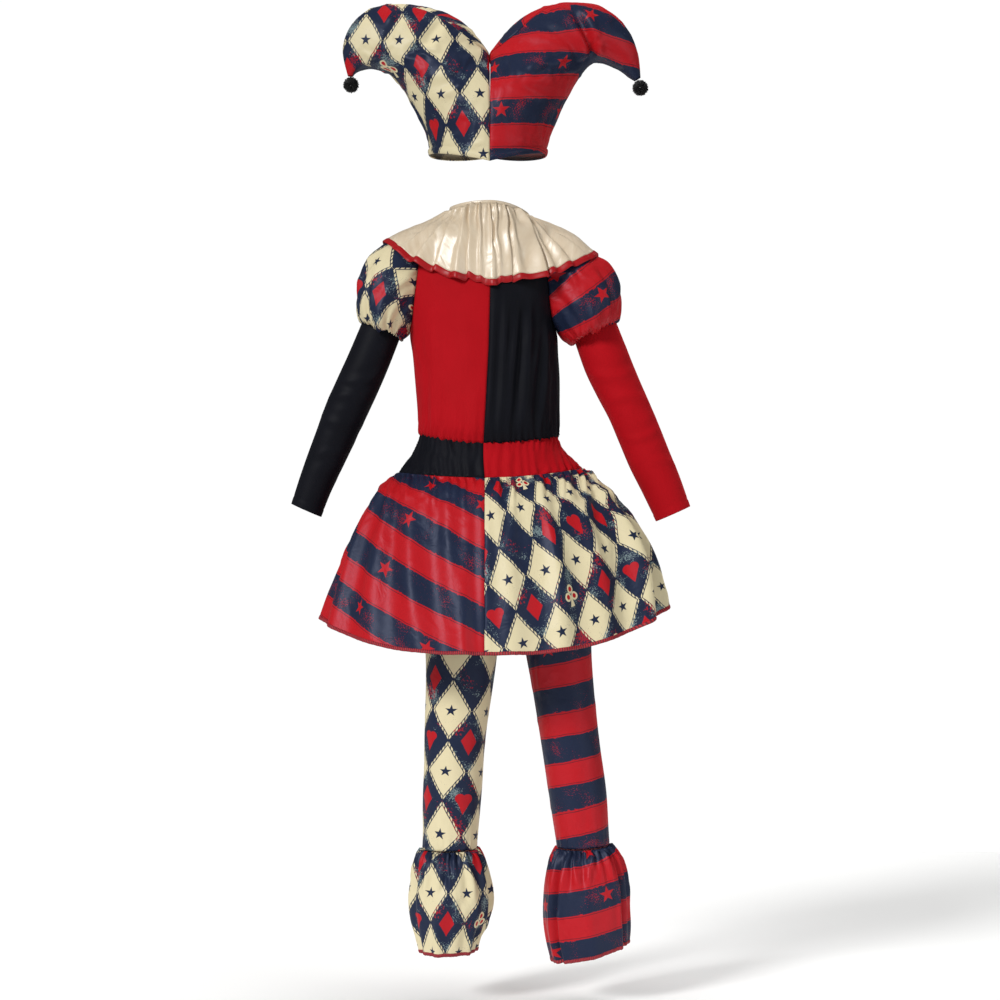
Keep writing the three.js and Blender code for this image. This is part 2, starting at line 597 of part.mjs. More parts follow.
// Hip yoke and skirt.
function makeYoke() {
  for (const quarter of quarters) {
    clothPiece("yoke_" + quarter.name, quarter.side < 0 ? materials.blackJersey : materials.redJersey, {
      ...cells.yoke,
      surface: (u, v) => bodyPoint(sectionAt(yokeRows, v), quarterAngle(quarter, u)),
      edges: {
        start: () => away(axisX, quarter.side),
        end: () => away(axisY, quarter.face),
        first: () => away(axisZ, -1),
        last: () => away(axisZ, 1),
      },
    });
  }
}

function skirtStandOut(folds, u, v) {
  const { perQuarter, depth, start, reach } = skirtGathers;
  const gathers = depth * wave(perQuarter, u) * Math.min(1, v / start) * Math.max(0, 1 - v / reach);
  const large = folds.reduce((sum, { at, height, spread }) => {
    return sum + height * (bump(90 * u - at, spread / 2) - skirtFoldTrough);
  }, 0);
  const seamHold = Math.min(1, Math.sin(Math.PI * u) * skirtSeamHold);
  return (gathers + large * v ** skirtFoldGrowth) * seamHold;
}

function makeSkirt() {
  for (const quarter of quarters) {
    const folds = quarter.side * quarter.face > 0 ? skirtFolds.left : skirtFolds.right;
    clothPiece("skirt_" + quarter.name, quarter.side < 0 ? materials.stripedSatin : materials.diamondSatin, {
      ...cells.skirt,
      surface: (u, v) => {
        const standOut = skirtStandOut(folds, u, v);
        return bodyPoint(sectionAt(skirtRows, v), quarterAngle(quarter, u), standOut, 2 + v);
      },
      edges: {
        start: () => away(axisX, quarter.side),
        end: () => away(axisY, quarter.face),
        first: () => away(axisZ, -1),
      },
    });
  }
}

// Trousers and their flounces.
function makeTrousers() {
  for (const [name, rows] of Object.entries(trouserRows)) {
    const side = name === "left" ? -1 : 1;
    const along = rows.length;
    const crotch = rows.findIndex((row) => row.start === -90) + 1;
    const seam = (face) => (v) => {
      const row = Math.round(v * along);
      if (row < crotch) return away(axisX, side);
      const shift = new THREE.Vector3(row === crotch ? side : 0, face, 0);
      return { shift, square: axisY };
    };
    clothPiece("trouser_" + name, name === "left" ? materials.diamondSatin : materials.stripedSatin, {
      across: cells.trouser.across,
      along,
      surface: (u, v) => {
        if (v === 0) return bodyPoint(yokeRows.at(-1), side * 180 * u, -clothThickness - seamGap);
        const section = rows[Math.round(v * along) - 1];
        return lobePoint(section, section.start + (180 - 2 * section.start) * u);
      },
      edges: { start: seam(-1), end: seam(1), first: () => ({ square: axisZ }), last: () => away(axisZ, 1) },
    });
  }
}

function makeFlounces() {
  for (const [name, rows] of Object.entries(flounceRows)) {
    clothPiece("flounce_" + name, name === "left" ? materials.diamondSatin : materials.stripedSatin, {
      ...cells.flounce,
      closed: true,
      surface: (u, v) => {
        const section = { ...sectionAt(rows, v), start: -90 };
        const angle = -90 + 360 * u;
        const swell = section.gather * wave(flounceGathers, u);
        const place = lobePoint({ ...section, depth: section.depth + swell }, angle);
        const back = Math.max(0, Math.cos(radians(angle)));
        place.x += Math.sign(section.outX - section.inX) * swell * Math.sin(radians(angle));
        place.z += (section.backZ - (section.inZ + section.outZ) / 2) * back;
        return place;
      },
      edges: { first: () => away(axisZ, -1) },
    });
  }
}

// Hat: two cut pieces to each horn, and a pompom at each tip.
function makeHat() {
  for (const quarter of quarters) {
    const rows = quarter.side < 0 ? hornRows.left : hornRows.right;
    const along = rows.length - 1;
    const saddle = rows.findIndex((row) => row.start === -90);
    clothPiece("hat_" + quarter.name, quarter.side < 0 ? materials.diamondSatin : materials.stripedSatin, {
      across: cells.hat.across,
      along,
      thickness: hatThickness,
      surface: (u, v) => {
        const section = rows[Math.round(v * along)];
        const place = lobePoint(section, section.start + (90 - section.start) * u);
        if (quarter.face > 0) place.z += (section.frontRaise ?? 0) * (1 - u) ** 2;
        return place.setY(-quarter.face * place.y);
      },
      edges: {
        start: (v) => {
          const row = Math.round(v * along);
          if (row < saddle) return away(axisX, quarter.side);
          const shift = new THREE.Vector3(row === saddle ? quarter.side : 0, quarter.face, 0);
          return { shift, square: axisY };
        },
        end: () => away(axisY, quarter.face),
      },
    });
  }
}

// A pompom: each face of a small ball is drawn out into a three-sided lock of wool.
function makePompoms() {
  for (const [name, { x, z }] of Object.entries(pompoms)) {
    const centre = new THREE.Vector3(x, 0, z);
    const ball = new THREE.IcosahedronGeometry(pompomCore, 1).deleteAttribute("normal").deleteAttribute("uv");
    const core = mergeVertices(ball, 1e-3);
    const corner = (k) => new THREE.Vector3().fromBufferAttribute(core.attributes.position, k);
    const points = Array.from({ length: core.attributes.position.count }, (_, k) => corner(k));
    const triangles = [];
    for (let k = 0; k < core.index.count; k += 3) {
      const [a, b, c] = [0, 1, 2].map((step) => core.index.getX(k + step));
      const peak = points.push(corner(a).add(corner(b)).add(corner(c)).setLength(pompomRadius)) - 1;
      triangles.push(a, b, peak, b, c, peak, c, a, peak);
    }
    addMesh("pompom_" + name, materials.blackWool, points.map((p) => p.add(centre)), triangles);
  }
}

makeHat();
makePompoms();
makeCollar();
makeBodice();
makeSleeves();
makeYoke();
makeSkirt();
makeTrousers();
makeFlounces();

export default costume;
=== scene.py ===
import bpy
import math
import numpy as np
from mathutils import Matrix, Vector
from mathutils.bvhtree import BVHTree


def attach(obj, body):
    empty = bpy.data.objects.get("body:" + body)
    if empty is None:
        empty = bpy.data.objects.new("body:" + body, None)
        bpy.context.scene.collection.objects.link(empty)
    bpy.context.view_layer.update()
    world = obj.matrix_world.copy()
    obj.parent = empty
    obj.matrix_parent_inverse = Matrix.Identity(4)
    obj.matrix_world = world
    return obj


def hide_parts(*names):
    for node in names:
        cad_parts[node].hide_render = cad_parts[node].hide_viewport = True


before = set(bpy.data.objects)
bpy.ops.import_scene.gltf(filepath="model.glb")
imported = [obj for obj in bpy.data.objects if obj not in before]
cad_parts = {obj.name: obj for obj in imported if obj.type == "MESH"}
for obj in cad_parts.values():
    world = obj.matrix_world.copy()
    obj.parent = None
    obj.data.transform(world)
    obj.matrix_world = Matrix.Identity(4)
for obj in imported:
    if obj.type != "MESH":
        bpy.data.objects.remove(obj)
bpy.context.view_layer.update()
bpy.context.scene.view_settings.view_transform = "Standard"  # so that dyed cloth keeps its hex colour
print("frame loaded")


# Small helpers: lengths are in millimetres until a mesh is made

def table(text):  # the first line names the columns, each later line is one row
    lines = [line.split() for line in text.strip().splitlines()]
    numbers = np.array([[float(x) for x in line] for line in lines[1:]])
    return dict(zip(lines[0], numbers.T))


def rowsOf(data):
    return [{key: column[k] for key, column in data.items()} for k in range(len(next(iter(data.values()))))]


def splineAt(points, place):  # a smooth curve through rows of points, read at real row numbers
    points = np.asarray(points, float)
    last = len(points) - 1
    place = np.clip(np.asarray(place, float), 0, last)
    low = np.minimum(place.astype(int), last - 1)
    t = (place - low).reshape((-1,) + (1,) * (points.ndim - 1))
    a, b, c, d = (points[np.clip(low + k, 0, last)] for k in (-1, 0, 1, 2))
    return b + 0.5 * t * (c - a + t * (2 * a - 5 * b + 4 * c - d + t * (3 * (b - c) + d - a)))


def loft(rings, rows):  # a smooth sheet through the rings
    return splineAt(np.array(rings), np.linspace(0, len(rings) - 1, rows))


def smoothStep(low, high, x):
    t = np.clip((x - low) / (high - low), 0, 1)
    return t * t * (3 - 2 * t)


def wander(x, seed, period):  # a smooth uneven line, about -1 to 1
    rng = np.random.RandomState(seed)
    total = 0
    for share in (1, 0.6, 0.37):
        total = total + np.sin(2 * np.pi * (x / (period * share) + rng.rand())) * share
    return total / 1.97


def unit(vectors):
    return vectors / np.maximum(np.linalg.norm(vectors, axis=-1, keepdims=True), 1e-9)


def closeRing(rows):  # the first column again at the end
    return np.concatenate([rows, rows[:, :1]], 1)


def normalsOf(points, closed):
    across = np.roll(points, -1, 1) - np.roll(points, 1, 1) if closed else np.gradient(points, axis=1)
    normal = unit(np.cross(across, np.gradient(points, axis=0)))
    outward = ((points - points.reshape(-1, 3).mean(0)) * normal).sum() > 0
    return normal if outward else -normal


def raised(points, closed, height):  # moves each point of the cloth out by its height
    return points + normalsOf(points, closed) * height[..., None]


def leanOver(points, shift):  # lays each fold a little to one side
    return points + unit(np.gradient(points, axis=1)) * shift[..., None]


def dip(away, depth, width):  # a trough, such as the one that a seam pulls in
    return depth * np.exp(-(away / width) ** 2)


def creases(across, down, rows):  # each row: from, to (mm on the cloth), width, height, bow
    height = np.zeros(np.broadcast(across, down).shape)
    for x0, y0, x1, y1, width, rise, bow in rows:
        dx, dy = x1 - x0, y1 - y0
        length = math.hypot(dx, dy)
        t = ((across - x0) * dx + (down - y0) * dy) / length ** 2
        side = ((across - x0) * -dy + (down - y0) * dx) / length
        side = side - bow * (1 - (2 * np.clip(t, 0, 1) - 1) ** 2)
        taper = smoothStep(-0.12, 0.3, t) * smoothStep(1.12, 0.7, t)
        ridge = np.exp(-(side / width) ** 2) - 0.4 * np.exp(-((np.abs(side) - 1.9 * width) / width) ** 2)
        height += rise * ridge * taper
    return height


def looseCreases(across, down, seed, count, lean, scatter, length, width, height):  # small uneven ones
    rng = np.random.RandomState(seed)
    rows = []
    for _ in range(count):
        x = rng.uniform(across.min(), across.max())
        y = rng.uniform(down.min(), down.max())
        turn = math.radians(rng.normal(lean, scatter))
        run = rng.uniform(0.5, 1.3) * length
        rows.append((x, y, x + run * math.sin(turn), y + run * math.cos(turn), rng.uniform(0.6, 1.4) * width,
                     rng.uniform(-1, 1) * height, rng.uniform(-0.12, 0.12) * run))
    return creases(across, down, rows)


def gathers(across, down, seed, spacing, height, reach):  # pulled-in tucks that fade down the cloth
    place = across / spacing + 0.35 * wander(across, seed, spacing * 5.3) + 0.1 * wander(down, seed + 1, 40)
    reaches = reach * (1 + 0.45 * wander(across, seed + 2, spacing * 3.1))
    fade = np.exp(-np.maximum(down, 0) / reaches) * smoothStep(3.6 * reaches, 0.8 * reaches, down)
    size = 1 + 0.5 * wander(across, seed + 3, spacing * 4.7)
    return height * size * np.sin(2 * np.pi * place) * fade


def quadsOf(points, closed):  # the corners of each face, and the step that reads them facing outwards
    rows, columns = points.shape[:2]
    j, i = np.mgrid[0:rows - 1, 0:columns if closed else columns - 1]
    after = (i + 1) % columns
    here, below = j * columns, (j + 1) * columns
    corners = np.stack([here + i, here + after, below + after, below + i], -1)
    first = points[0, 0]
    turn = np.cross(points[0, 1] - first, points[1, 0] - first) @ normalsOf(points, closed)[0, 0]
    step = 1 if turn > 0 else -1
    return corners[..., ::step].reshape(-1, 4), step


def shared(field):  # each value eased into its neighbours, round the ring and down it
    calm = (np.roll(field, 1, 1) + np.roll(field, -1, 1) + 2 * field) / 4
    calm[1:-1] = (calm[:-2] + calm[2:] + 2 * calm[1:-1]) / 4
    return calm


def keepOff(points, others, gap, search=60):  # lifts a ring of cloth that would sink into the cloth below it
    corners, faces = [], []
    for other, closed in others:
        faces += (quadsOf(other, closed)[0] + len(corners)).tolist()
        corners += other.reshape(-1, 3).tolist()
    tree = BVHTree.FromPolygons(corners, faces)
    push = np.zeros(points.shape)
    for place in np.ndindex(points.shape[:2]):
        point = Vector(points[place])
        near, normal, _, _ = tree.find_nearest(point, search)
        if near is None:
            continue
        depth = (point - near).dot(normal)
        if depth < gap:
            push[place] = normal * (gap - depth)
    spread = push
    for _ in range(6):  # eases the lift out into the cloth round it, and never below what is needed
        calm = shared(spread)
        longer = np.linalg.norm(calm, axis=2) > np.linalg.norm(push, axis=2)
        spread = np.where(longer[..., None], calm, push)
    for _ in range(5):
        spread = shared(spread)
    return points + spread


def arcFrom(points):  # length along each row from its first point, and down each column
    steps = np.linalg.norm(np.diff(points, axis=1), axis=2)
    across = np.concatenate([np.zeros((len(points), 1)), np.cumsum(steps, 1)], 1)
    drops = np.linalg.norm(np.diff(points, axis=0), axis=2)
    down = np.concatenate([np.zeros((1, points.shape[1])), np.cumsum(drops, 0)], 0)
    return across, down


def turned(flat, tilt, shift):  # turns the print on its cloth, then slides it
    c, s = math.cos(math.radians(tilt)), math.sin(math.radians(tilt))
    x, y = flat[..., 0], flat[..., 1]
    return np.stack([x * c - y * s + shift[0], x * s + y * c + shift[1]], -1)


def newObject(name, data):
    thing = bpy.data.objects.new(name, data)
    bpy.context.scene.collection.objects.link(thing)
    return thing


def meshObject(name, points, faces, flat, materials):
    mesh = bpy.data.meshes.new(name)
    mesh.from_pydata((np.asarray(points) / 1000).tolist(), [], faces)
    if flat is not None:
        layer = mesh.uv_layers.new(name="cloth")
        layer.data.foreach_set("uv", (np.asarray(flat) / 1000).ravel())
    for material in materials:
        mesh.materials.append(material)
    mesh.shade_smooth()
    return newObject(name, mesh)


def dress(piece, node=None):  # rides with the costume, and stands for its solid
    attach(piece, "root")
    if node:
        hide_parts(node)
    return piece


def makeCloth(node, look, points, flat, closed=False, thickness=1.0,
              name=None):  # points: rows down the cloth, in columns; look: the front, the back and the slot, which is not used
    front, back, slot = look
    faces, step = quadsOf(points, closed)
    corners = np.stack([flat[:-1, :-1], flat[:-1, 1:], flat[1:, 1:], flat[1:, :-1]], 2)[:, :, ::step]
    piece = meshObject(name or node + "_cloth", points.reshape(-1, 3), faces.tolist(), corners.reshape(-1, 2),
                       [front, back])
    wall = piece.modifiers.new("wall", "SOLIDIFY")
    wall.thickness = thickness / 1000
    wall.offset = -1
    wall.material_offset = 1
    wall.material_offset_rim = 0
    dress(piece, node)
    return piece


def makeRoll(name, rings, closed, step, material):  # a thin tube; step: mm of cloth along and round it
    rings = np.array(rings)
    turns, count = rings.shape[:2]
    faces, flat = [], []
    for k in range(turns):
        for i in range(count if closed else count - 1):
            after, over = (i + 1) % count, (k + 1) % turns
            faces.append((k * count + i, k * count + after, over * count + after, over * count + i))
            flat += [((i + x) * step[0], (k + y) * step[1]) for x, y in ((0, 0), (1, 0), (1, 1), (0, 1))]
    if not closed:
        faces.append(tuple(k * count for k in range(turns)))
        faces.append(tuple(k * count + count - 1 for k in reversed(range(turns))))
        flat += [(0, k) for k in range(turns)] * 2
    return meshObject(name, rings.reshape(-1, 3), faces, flat, [material])


# Materials

def linear(hexColour):
    value = hexColour.lstrip("#")
    channels = [int(value[k:k + 2], 16) / 255 for k in (0, 2, 4)]
    return [c / 12.92 if c <= 0.04045 else ((c + 0.055) / 1.055) ** 2.4 for c in channels] + [1]


def setInputs(tree, node, inputs):  # by name or number, or as a row from the first on
    for key, value in inputs.items() if isinstance(inputs, dict) else enumerate(inputs):
        if isinstance(value, bpy.types.NodeSocket):
            tree.links.new(value, node.inputs[key])
        else:
            node.inputs[key].default_value = value


def addNode(tree, kind, inputs=(), take=0, **settings):
    node = tree.nodes.new("ShaderNode" + kind)
    for key, value in settings.items():
        setattr(node, key, value)
    setInputs(tree, node, inputs)
    return node.outputs[take]


def newMaterial(name):
    material = bpy.data.materials.new(name)
    material.use_nodes = True
    tree = material.node_tree
    return material, tree, tree.nodes["Principled BSDF"]


satin = {
    "navy": "#1b243b", "red": "#b5141b", "cream": "#dcd0aa", "worn": "#8fa3a2", "pinLine": "#5c1622",
    "roughness": 0.47, "gloss": 0.27, "stretch": 0.35, "glint": "#dfe6ff",
    "diamond": (56.5, 87.0, 1.0), "diamondSide": 103.8, "wobble": (2.2, 2.2, 0), "starRadius": 8.6,
    "creamEdge": (3.2, 3.8), "ribbon": 1.35, "ribbonHalf": (1.2, 0.8), "dashPeriod": 7.0,
    "dashGap": (0.14, 0.2),
    "lozenge": (1 / 11.5, 1 / 19, 0), "lobeAt": (5.4, 4.5, 0), "heartSides": (1 / 11.6, -1 / 20, 0),
    "leafAt": (6.6, -1.5, 0), "topLeafAt": (0, 8.5, 0), "stemSides": (1, 0.28, 0),
    "stripePeriod": 69.0, "redWidth": 34.5, "pinIn": 2.3, "starStep": 118.0,
    "stripeStar": 12.5, "starShare": 0.75,
}
starTip, starFold = math.pi / 5, 1.2358  # half the angle between two points, and the slope of a star's edge
starSize = 3.046  # a star's radius over the distance from its centre to the line of an edge
halfCell = (0.5, 0.5, 0)
soft = {"interpolation_type": "SMOOTHSTEP"}
paint = {"data_type": "RGBA"}


def clothPlace(tree):  # the place on the flat cloth, in millimetres
    uv = addNode(tree, "UVMap", uv_map="cloth")
    return addNode(tree, "VectorMath", {0: uv, "Scale": 1000.0}, operation="SCALE")


def starMask(tree, place, radius):  # 1 inside a five-pointed star about the place's origin
    parts = addNode(tree, "SeparateXYZ", (place,)).node.outputs
    reach = addNode(tree, "VectorMath", (place,), "Value", operation="LENGTH")
    fold = addNode(tree, "Math", (parts[0], parts[1]), operation="ARCTAN2")
    fold = addNode(tree, "Math", (fold, starTip, -starTip), operation="WRAP")
    fold = addNode(tree, "Math", (fold,), operation="ABSOLUTE")
    fold = addNode(tree, "Math", (fold, starFold), operation="SUBTRACT")
    fold = addNode(tree, "Math", (fold,), operation="COSINE")
    size = addNode(tree, "Math", (fold, reach), operation="MULTIPLY")
    return addNode(tree, "MapRange", (size, (radius + 0.4) / starSize, (radius - 0.4) / starSize), **soft)


def finishSatin(tree, shader, colour, place, wrinkle, finish):
    # Printed polyester satin: long floats give broad soft glints, and fine creases break them up.
    tangent = addNode(tree, "Tangent", direction_type="UV_MAP", uv_map="cloth")
    crumple = addNode(tree, "TexNoise", {"Vector": place, "Scale": 0.03, "Detail": 3.0, "Distortion": 0.8})
    thread = addNode(tree, "VectorMath", (place, (1.4, 0.5, 1.0)), operation="MULTIPLY")
    weave = addNode(tree, "TexNoise", {"Vector": thread, "Scale": 1.0, "Detail": 2.0})
    weave = addNode(tree, "Math", (weave, 0.02), operation="MULTIPLY")
    height = addNode(tree, "Math", (crumple, weave), operation="ADD")
    bump = addNode(tree, "Bump", {"Strength": wrinkle, "Distance": 0.006, "Height": height})
    setInputs(tree, shader, {
        "Base Color": colour, "Roughness": finish["roughness"], "IOR": 1.5,
        "Specular IOR Level": finish["gloss"], "Specular Tint": linear(finish["glint"]),
        "Anisotropic": satin["stretch"], "Tangent": tangent, "Normal": bump,
    })


def harlequinSatin(name, faded=0.0):
    # Cream diamonds with a star and a dashed line round them, and motifs in the navy between.
    material, tree, shader = newMaterial(name)
    place = clothPlace(tree)
    wobble = addNode(tree, "TexNoise", {"Vector": place, "Scale": 0.06, "Detail": 2.0}, "Color")
    wobble = addNode(tree, "VectorMath", (wobble, satin["wobble"], place), operation="MULTIPLY_ADD")
    cell = addNode(tree, "VectorMath", (wobble, satin["diamond"]), operation="DIVIDE")
    local = addNode(tree, "VectorMath", (cell, halfCell), operation="ADD")
    local = addNode(tree, "VectorMath", (local,), operation="FRACTION")
    local = addNode(tree, "VectorMath", (local, halfCell), operation="SUBTRACT")
    positive = addNode(tree, "VectorMath", (local,), operation="ABSOLUTE")
    total = addNode(tree, "VectorMath", (positive, (1, 1, 0)), "Value", operation="DOT_PRODUCT")
    scale = 1 / math.hypot(1 / satin["diamond"][0], 1 / satin["diamond"][1])
    edge = addNode(tree, "Math", (total, -scale, scale / 2), operation="MULTIPLY_ADD")
    cream = addNode(tree, "MapRange", (edge, *satin["creamEdge"]), **soft)
    # the dashed line outside each cream diamond
    ribbon = addNode(tree, "Math", (edge, satin["ribbon"]), operation="SUBTRACT")
    ribbon = addNode(tree, "Math", (ribbon,), operation="ABSOLUTE")
    ribbon = addNode(tree, "MapRange", (ribbon, *satin["ribbonHalf"]), **soft)
    along = (satin["diamondSide"] / satin["dashPeriod"], 0, 0)
    dash = addNode(tree, "VectorMath", (positive, along), "Value", operation="DOT_PRODUCT")
    dash = addNode(tree, "Math", (dash, 0.5), operation="PINGPONG")
    dash = addNode(tree, "MapRange", (dash, *satin["dashGap"]), **soft)
    ribbon = addNode(tree, "Math", (ribbon, dash), operation="MULTIPLY")
    cream = addNode(tree, "Math", (cream, ribbon), operation="MAXIMUM")
    star = addNode(tree, "VectorMath", (local, satin["diamond"]), operation="MULTIPLY")
    star = starMask(tree, star, satin["starRadius"])
    # lozenges in every other navy diamond, hearts and clubs in some of the rest
    inNavy = addNode(tree, "VectorMath", (cell,), operation="FRACTION")
    inNavy = addNode(tree, "VectorMath", (inNavy, halfCell), operation="SUBTRACT")
    inNavy = addNode(tree, "VectorMath", (inNavy, satin["diamond"]), operation="MULTIPLY")
    count = addNode(tree, "VectorMath", (cell,), operation="FLOOR")
    odd = addNode(tree, "VectorMath", (count, (1, 1, 0)), "Value", operation="DOT_PRODUCT")
    odd = addNode(tree, "Math", (odd, 2.0), operation="FLOORED_MODULO")
    turnBy = addNode(tree, "VectorMath", (count, (1, 2, 0)), "Value", operation="DOT_PRODUCT")
    turnBy = addNode(tree, "Math", (turnBy, 5.0), operation="FLOORED_MODULO")
    turnBy = addNode(tree, "Math", (odd, 10.0, turnBy), operation="MULTIPLY_ADD")
    isHeart = addNode(tree, "Math", (turnBy, 1.5, 0.6), operation="COMPARE")
    isClub = addNode(tree, "Math", (turnBy, 3.5, 0.6), operation="COMPARE")
    mirrored = addNode(tree, "VectorMath", (inNavy,), operation="ABSOLUTE")
    lozenge = addNode(tree, "VectorMath", (mirrored, satin["lozenge"]), "Value", operation="DOT_PRODUCT")
    lozenge = addNode(tree, "MapRange", (lozenge, 1.03, 0.97), **soft)
    parts = addNode(tree, "SeparateXYZ", (inNavy,)).node.outputs
    half = addNode(tree, "Math", (parts[0],), operation="ABSOLUTE")
    half = addNode(tree, "CombineXYZ", (half, parts[1]))
    lobe = addNode(tree, "VectorMath", (half, satin["lobeAt"]), "Value", operation="DISTANCE")
    lobe = addNode(tree, "MapRange", (lobe, 6.8, 6.2), **soft)
    point = addNode(tree, "VectorMath", (half, satin["heartSides"]), "Value", operation="DOT_PRODUCT")
    point = addNode(tree, "MapRange", (point, 0.87, 0.82), **soft)
    below = addNode(tree, "MapRange", (parts[1], 3.5, 3.0))
    point = addNode(tree, "Math", (point, below), operation="MULTIPLY")
    heart = addNode(tree, "Math", (lobe, point), operation="MAXIMUM")
    leaf = addNode(tree, "VectorMath", (half, satin["leafAt"]), "Value", operation="DISTANCE")
    top = addNode(tree, "VectorMath", (half, satin["topLeafAt"]), "Value", operation="DISTANCE")
    leaf = addNode(tree, "Math", (leaf, top), operation="MINIMUM")
    pip = addNode(tree, "MapRange", (leaf, 3.6, 3.1), **soft)
    leaf = addNode(tree, "MapRange", (leaf, 6.3, 5.7), **soft)
    stem = addNode(tree, "VectorMath", (half, satin["stemSides"]), "Value", operation="DOT_PRODUCT")
    stem = addNode(tree, "MapRange", (stem, 0.5, 0.0), **soft)
    foot = addNode(tree, "MapRange", (parts[1], -15.2, -14.8))
    stem = addNode(tree, "Math", (stem, foot), operation="MULTIPLY")
    club = addNode(tree, "Math", (leaf, stem), operation="MAXIMUM")
    # wear printed into the cloth: pale scuffs on the navy, dark flecks on the cream
    grain = addNode(tree, "TexNoise", {"Vector": place, "Scale": 0.45, "Detail": 5.0, "Roughness": 0.72})
    patch = addNode(tree, "TexNoise", {"Vector": place, "Scale": 0.032, "Detail": 1.0})
    scuff = addNode(tree, "Math", (grain, patch), operation="MULTIPLY")
    scuff = addNode(tree, "MapRange", (scuff, 0.325, 0.35, 0.0, 0.65))
    blot = addNode(tree, "TexNoise", {"Vector": place, "Scale": 0.3, "Detail": 4.0, "Roughness": 0.7})
    where = addNode(tree, "TexNoise", {"Vector": place, "Scale": 0.024, "Detail": 0.0})
    blot = addNode(tree, "Math", (blot, where), operation="MULTIPLY")
    blot = addNode(tree, "MapRange", (blot, 0.362, 0.375, 0.0, 0.75))
    fleck = addNode(tree, "TexNoise", {"Vector": place, "Scale": 0.8, "Detail": 2.0})
    fleck = addNode(tree, "Math", (patch, 0.35, fleck), operation="MULTIPLY_ADD")
    fleck = addNode(tree, "MapRange", (fleck, 0.89, 0.93, 0.0, 0.6))
    # the inks, one over the other
    navy, pale = linear(satin["navy"]), linear(satin["cream"])
    covers = ((blot, "red", None), (scuff, "worn", None), (lozenge, "red", odd), (heart, "red", isHeart),
              (club, "cream", isClub), (pip, "red", isClub))
    for cover, ink, only in covers:
        if only is not None:
            cover = addNode(tree, "Math", (cover, only), operation="MULTIPLY")
        navy = addNode(tree, "Mix", {0: cover, 6: navy, 7: linear(satin[ink])}, 2, **paint)
    for cover in (fleck, star):
        pale = addNode(tree, "Mix", {0: cover, 6: pale, 7: linear(satin["navy"])}, 2, **paint)
    colour = addNode(tree, "Mix", {0: cream, 6: navy, 7: pale}, 2, **paint)
    if faded:
        colour = addNode(tree, "Mix", {0: faded, 6: colour, 7: linear("#b9b2a2")}, 2, **paint)
    finishSatin(tree, shader, colour, place, 0.3, satin)
    return material


